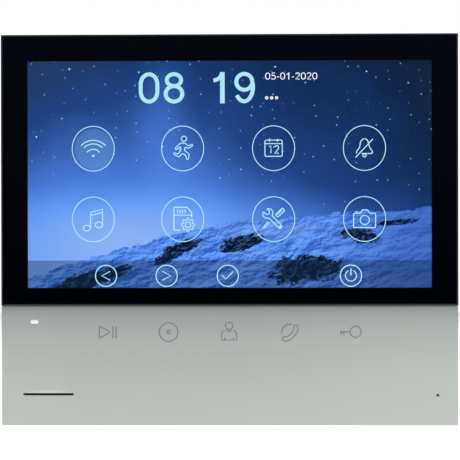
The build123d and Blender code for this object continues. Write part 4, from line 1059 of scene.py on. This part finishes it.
class MONITOR_OT_finish_nodes(Operator):
    """Gives each carried-over piece its material"""
    bl_idname = "monitor.finish_nodes"
    bl_label = "Finish Carried-Over Pieces"

    def execute(self, context):
        for material, names in node_finishes(context.scene.monitor_case):
            for name in names:
                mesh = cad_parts[name].data
                mesh.materials.clear()
                mesh.materials.append(material)
        return {"FINISHED"}


# ------------------------------------------------------------------ stage
def soft_lamp(name, place, target, size, power):
    bpy.ops.object.light_add(type="AREA", location=place)
    lamp = bpy.context.object
    lamp.name = name
    lamp.data.shape = "DISK"
    lamp.data.size = size
    lamp.data.energy = power
    lamp.rotation_mode = "QUATERNION"
    lamp.rotation_quaternion = (Vector(target) - Vector(place)).to_track_quat("-Z", "Y")
    return lamp


def pale_surround(strength):
    """World: pale all round, with a dark blue flag in front that keeps the glass black."""
    world = bpy.data.worlds.new("pale surround")
    world.use_nodes = True
    bpy.context.scene.world = world
    tree = world.node_tree
    background = tree.nodes["Background"]
    direction = tree.nodes.new("ShaderNodeTexCoord").outputs["Generated"]
    parts = tree.nodes.new("ShaderNodeSeparateXYZ")
    tree.links.new(direction, parts.inputs[0])
    flag = tree.nodes.new("ShaderNodeMapRange")
    flag.interpolation_type = "SMOOTHSTEP"
    flag.inputs["From Min"].default_value = -0.97
    flag.inputs["From Max"].default_value = -0.80
    tree.links.new(parts.outputs["Y"], flag.inputs["Value"])
    height = tree.nodes.new("ShaderNodeMapRange")
    height.inputs["From Min"].default_value = -0.04
    height.inputs["From Max"].default_value = 0.11
    tree.links.new(parts.outputs["Z"], height.inputs["Value"])
    dark = tree.nodes.new("ShaderNodeMix")
    dark.data_type = "RGBA"
    dark.inputs[6].default_value = (0.008, 0.018, 0.06, 1)
    dark.inputs[7].default_value = (0.06, 0.09, 0.16, 1)
    tree.links.new(height.outputs[0], dark.inputs[0])
    lit = tree.nodes.new("ShaderNodeMix")
    lit.data_type = "RGBA"
    lit.inputs[7].default_value = (strength, strength, strength, 1)
    tree.links.new(flag.outputs[0], lit.inputs[0])
    tree.links.new(dark.outputs[2], lit.inputs[6])
    seen = tree.nodes.new("ShaderNodeMix")
    seen.data_type = "RGBA"
    seen.inputs[7].default_value = (1, 1, 1, 1)
    tree.links.new(tree.nodes.new("ShaderNodeLightPath").outputs["Is Camera Ray"], seen.inputs[0])
    tree.links.new(lit.outputs[2], seen.inputs[6])
    tree.links.new(seen.outputs[2], background.inputs["Color"])
    background.inputs["Strength"].default_value = 1.0


def pale_floor(radius, height):
    bpy.ops.mesh.primitive_circle_add(vertices=96, radius=radius, fill_type="NGON",
                                      location=(0, 0, height))
    floor = bpy.context.object
    floor.name = "floor"
    shader = Shader("pale floor")
    shader.set(Base_Color=shader.mix(shader.noise(300.0, 3.0), (0.9, 0.9, 0.9, 1),
                                     (0.94, 0.94, 0.94, 1)), Roughness=0.7)
    floor.data.materials.append(shader.material)


class MONITOR_OT_stage(Operator):
    """Sets up the floor, the soft lamps, the pale surround and the camera"""
    bl_idname = "monitor.stage"
    bl_label = "Stage"

    def execute(self, context):
        settings = context.scene.monitor_stage
        deselect()
        context.scene.view_settings.view_transform = "Standard"
        pale_surround(settings.sky_strength)
        pale_floor(settings.floor_size, CAD_BOX[0].z - settings.floor_drop)
        soft_lamp("key lamp", (0.95, -0.9, 0.4), (0, 0, -0.02), 0.8, settings.key_power)
        soft_lamp("fill lamp", (-0.9, -0.7, 0.9), (0, 0, 0), 0.9, settings.fill_power)
        soft_lamp("back lamp", (0.5, 1.1, 0.9), (0, 0, 0), 1.0, settings.back_power)

        bpy.ops.object.camera_add()
        camera = context.object
        camera.data.sensor_width = 36.0
        camera.data.lens = settings.lens
        turn, lift = settings.azimuth, settings.elevation
        away = Vector((math.sin(turn) * math.cos(lift), -math.cos(turn) * math.cos(lift),
                       math.sin(lift)))
        middle = (CAD_BOX[0] + CAD_BOX[1]) / 2
        aim = Vector((middle.x + 0.35 * MM, CAD_BOX[0].y, middle.z))
        camera.location = aim + away * settings.distance
        camera.rotation_mode = "QUATERNION"
        facing = (-away).to_track_quat("-Z", "Y")
        camera.rotation_quaternion = facing @ Quaternion((0, 0, 1), settings.roll)
        camera.data.clip_start, camera.data.clip_end = 0.01, 20.0
        context.scene.camera = camera
        return {"FINISHED"}


# ------------------------------------------------------------------ add-on
OPERATORS = (
    MONITOR_OT_screen_picture,
    MONITOR_OT_clock,
    MONITOR_OT_function_icons,
    MONITOR_OT_bar_icons,
    MONITOR_OT_front_glass,
    MONITOR_OT_panel_lip,
    MONITOR_OT_key_marks,
    MONITOR_OT_openings,
    MONITOR_OT_label_print,
    MONITOR_OT_finish_nodes,
    MONITOR_OT_stage,
)


class MONITOR_PT_looks(Panel):
    """Lists the settings and the steps in the order they are run"""
    bl_idname = "MONITOR_PT_looks"
    bl_label = "Intercom Monitor"
    bl_space_type = "VIEW_3D"
    bl_region_type = "UI"
    bl_category = "Intercom"

    def draw(self, context):
        layout = self.layout
        for name in SETTINGS:
            group = getattr(context.scene, name)
            box = layout.box()
            for setting in group.bl_rna.properties:
                if setting.identifier not in {"rna_type", "name"}:
                    box.prop(group, setting.identifier)
        column = layout.column(align=True)
        for step in OPERATORS:
            column.operator(step.bl_idname)


SETTINGS = {
    "monitor_screen": ScreenSettings,
    "monitor_case": CaseSettings,
    "monitor_stage": StageSettings,
}
CLASSES = (*SETTINGS.values(), *OPERATORS, MONITOR_PT_looks)


def register():
    for made in CLASSES:
        bpy.utils.register_class(made)
    for name, group in SETTINGS.items():
        setattr(bpy.types.Scene, name, PointerProperty(type=group))


def unregister():
    for name in SETTINGS:
        delattr(bpy.types.Scene, name)
    for made in reversed(CLASSES):
        bpy.utils.unregister_class(made)


def main():
    register()
    for step in OPERATORS:
        getattr(bpy.ops.monitor, step.bl_idname.split(".")[1])()


if __name__ == "__main__":
    main()
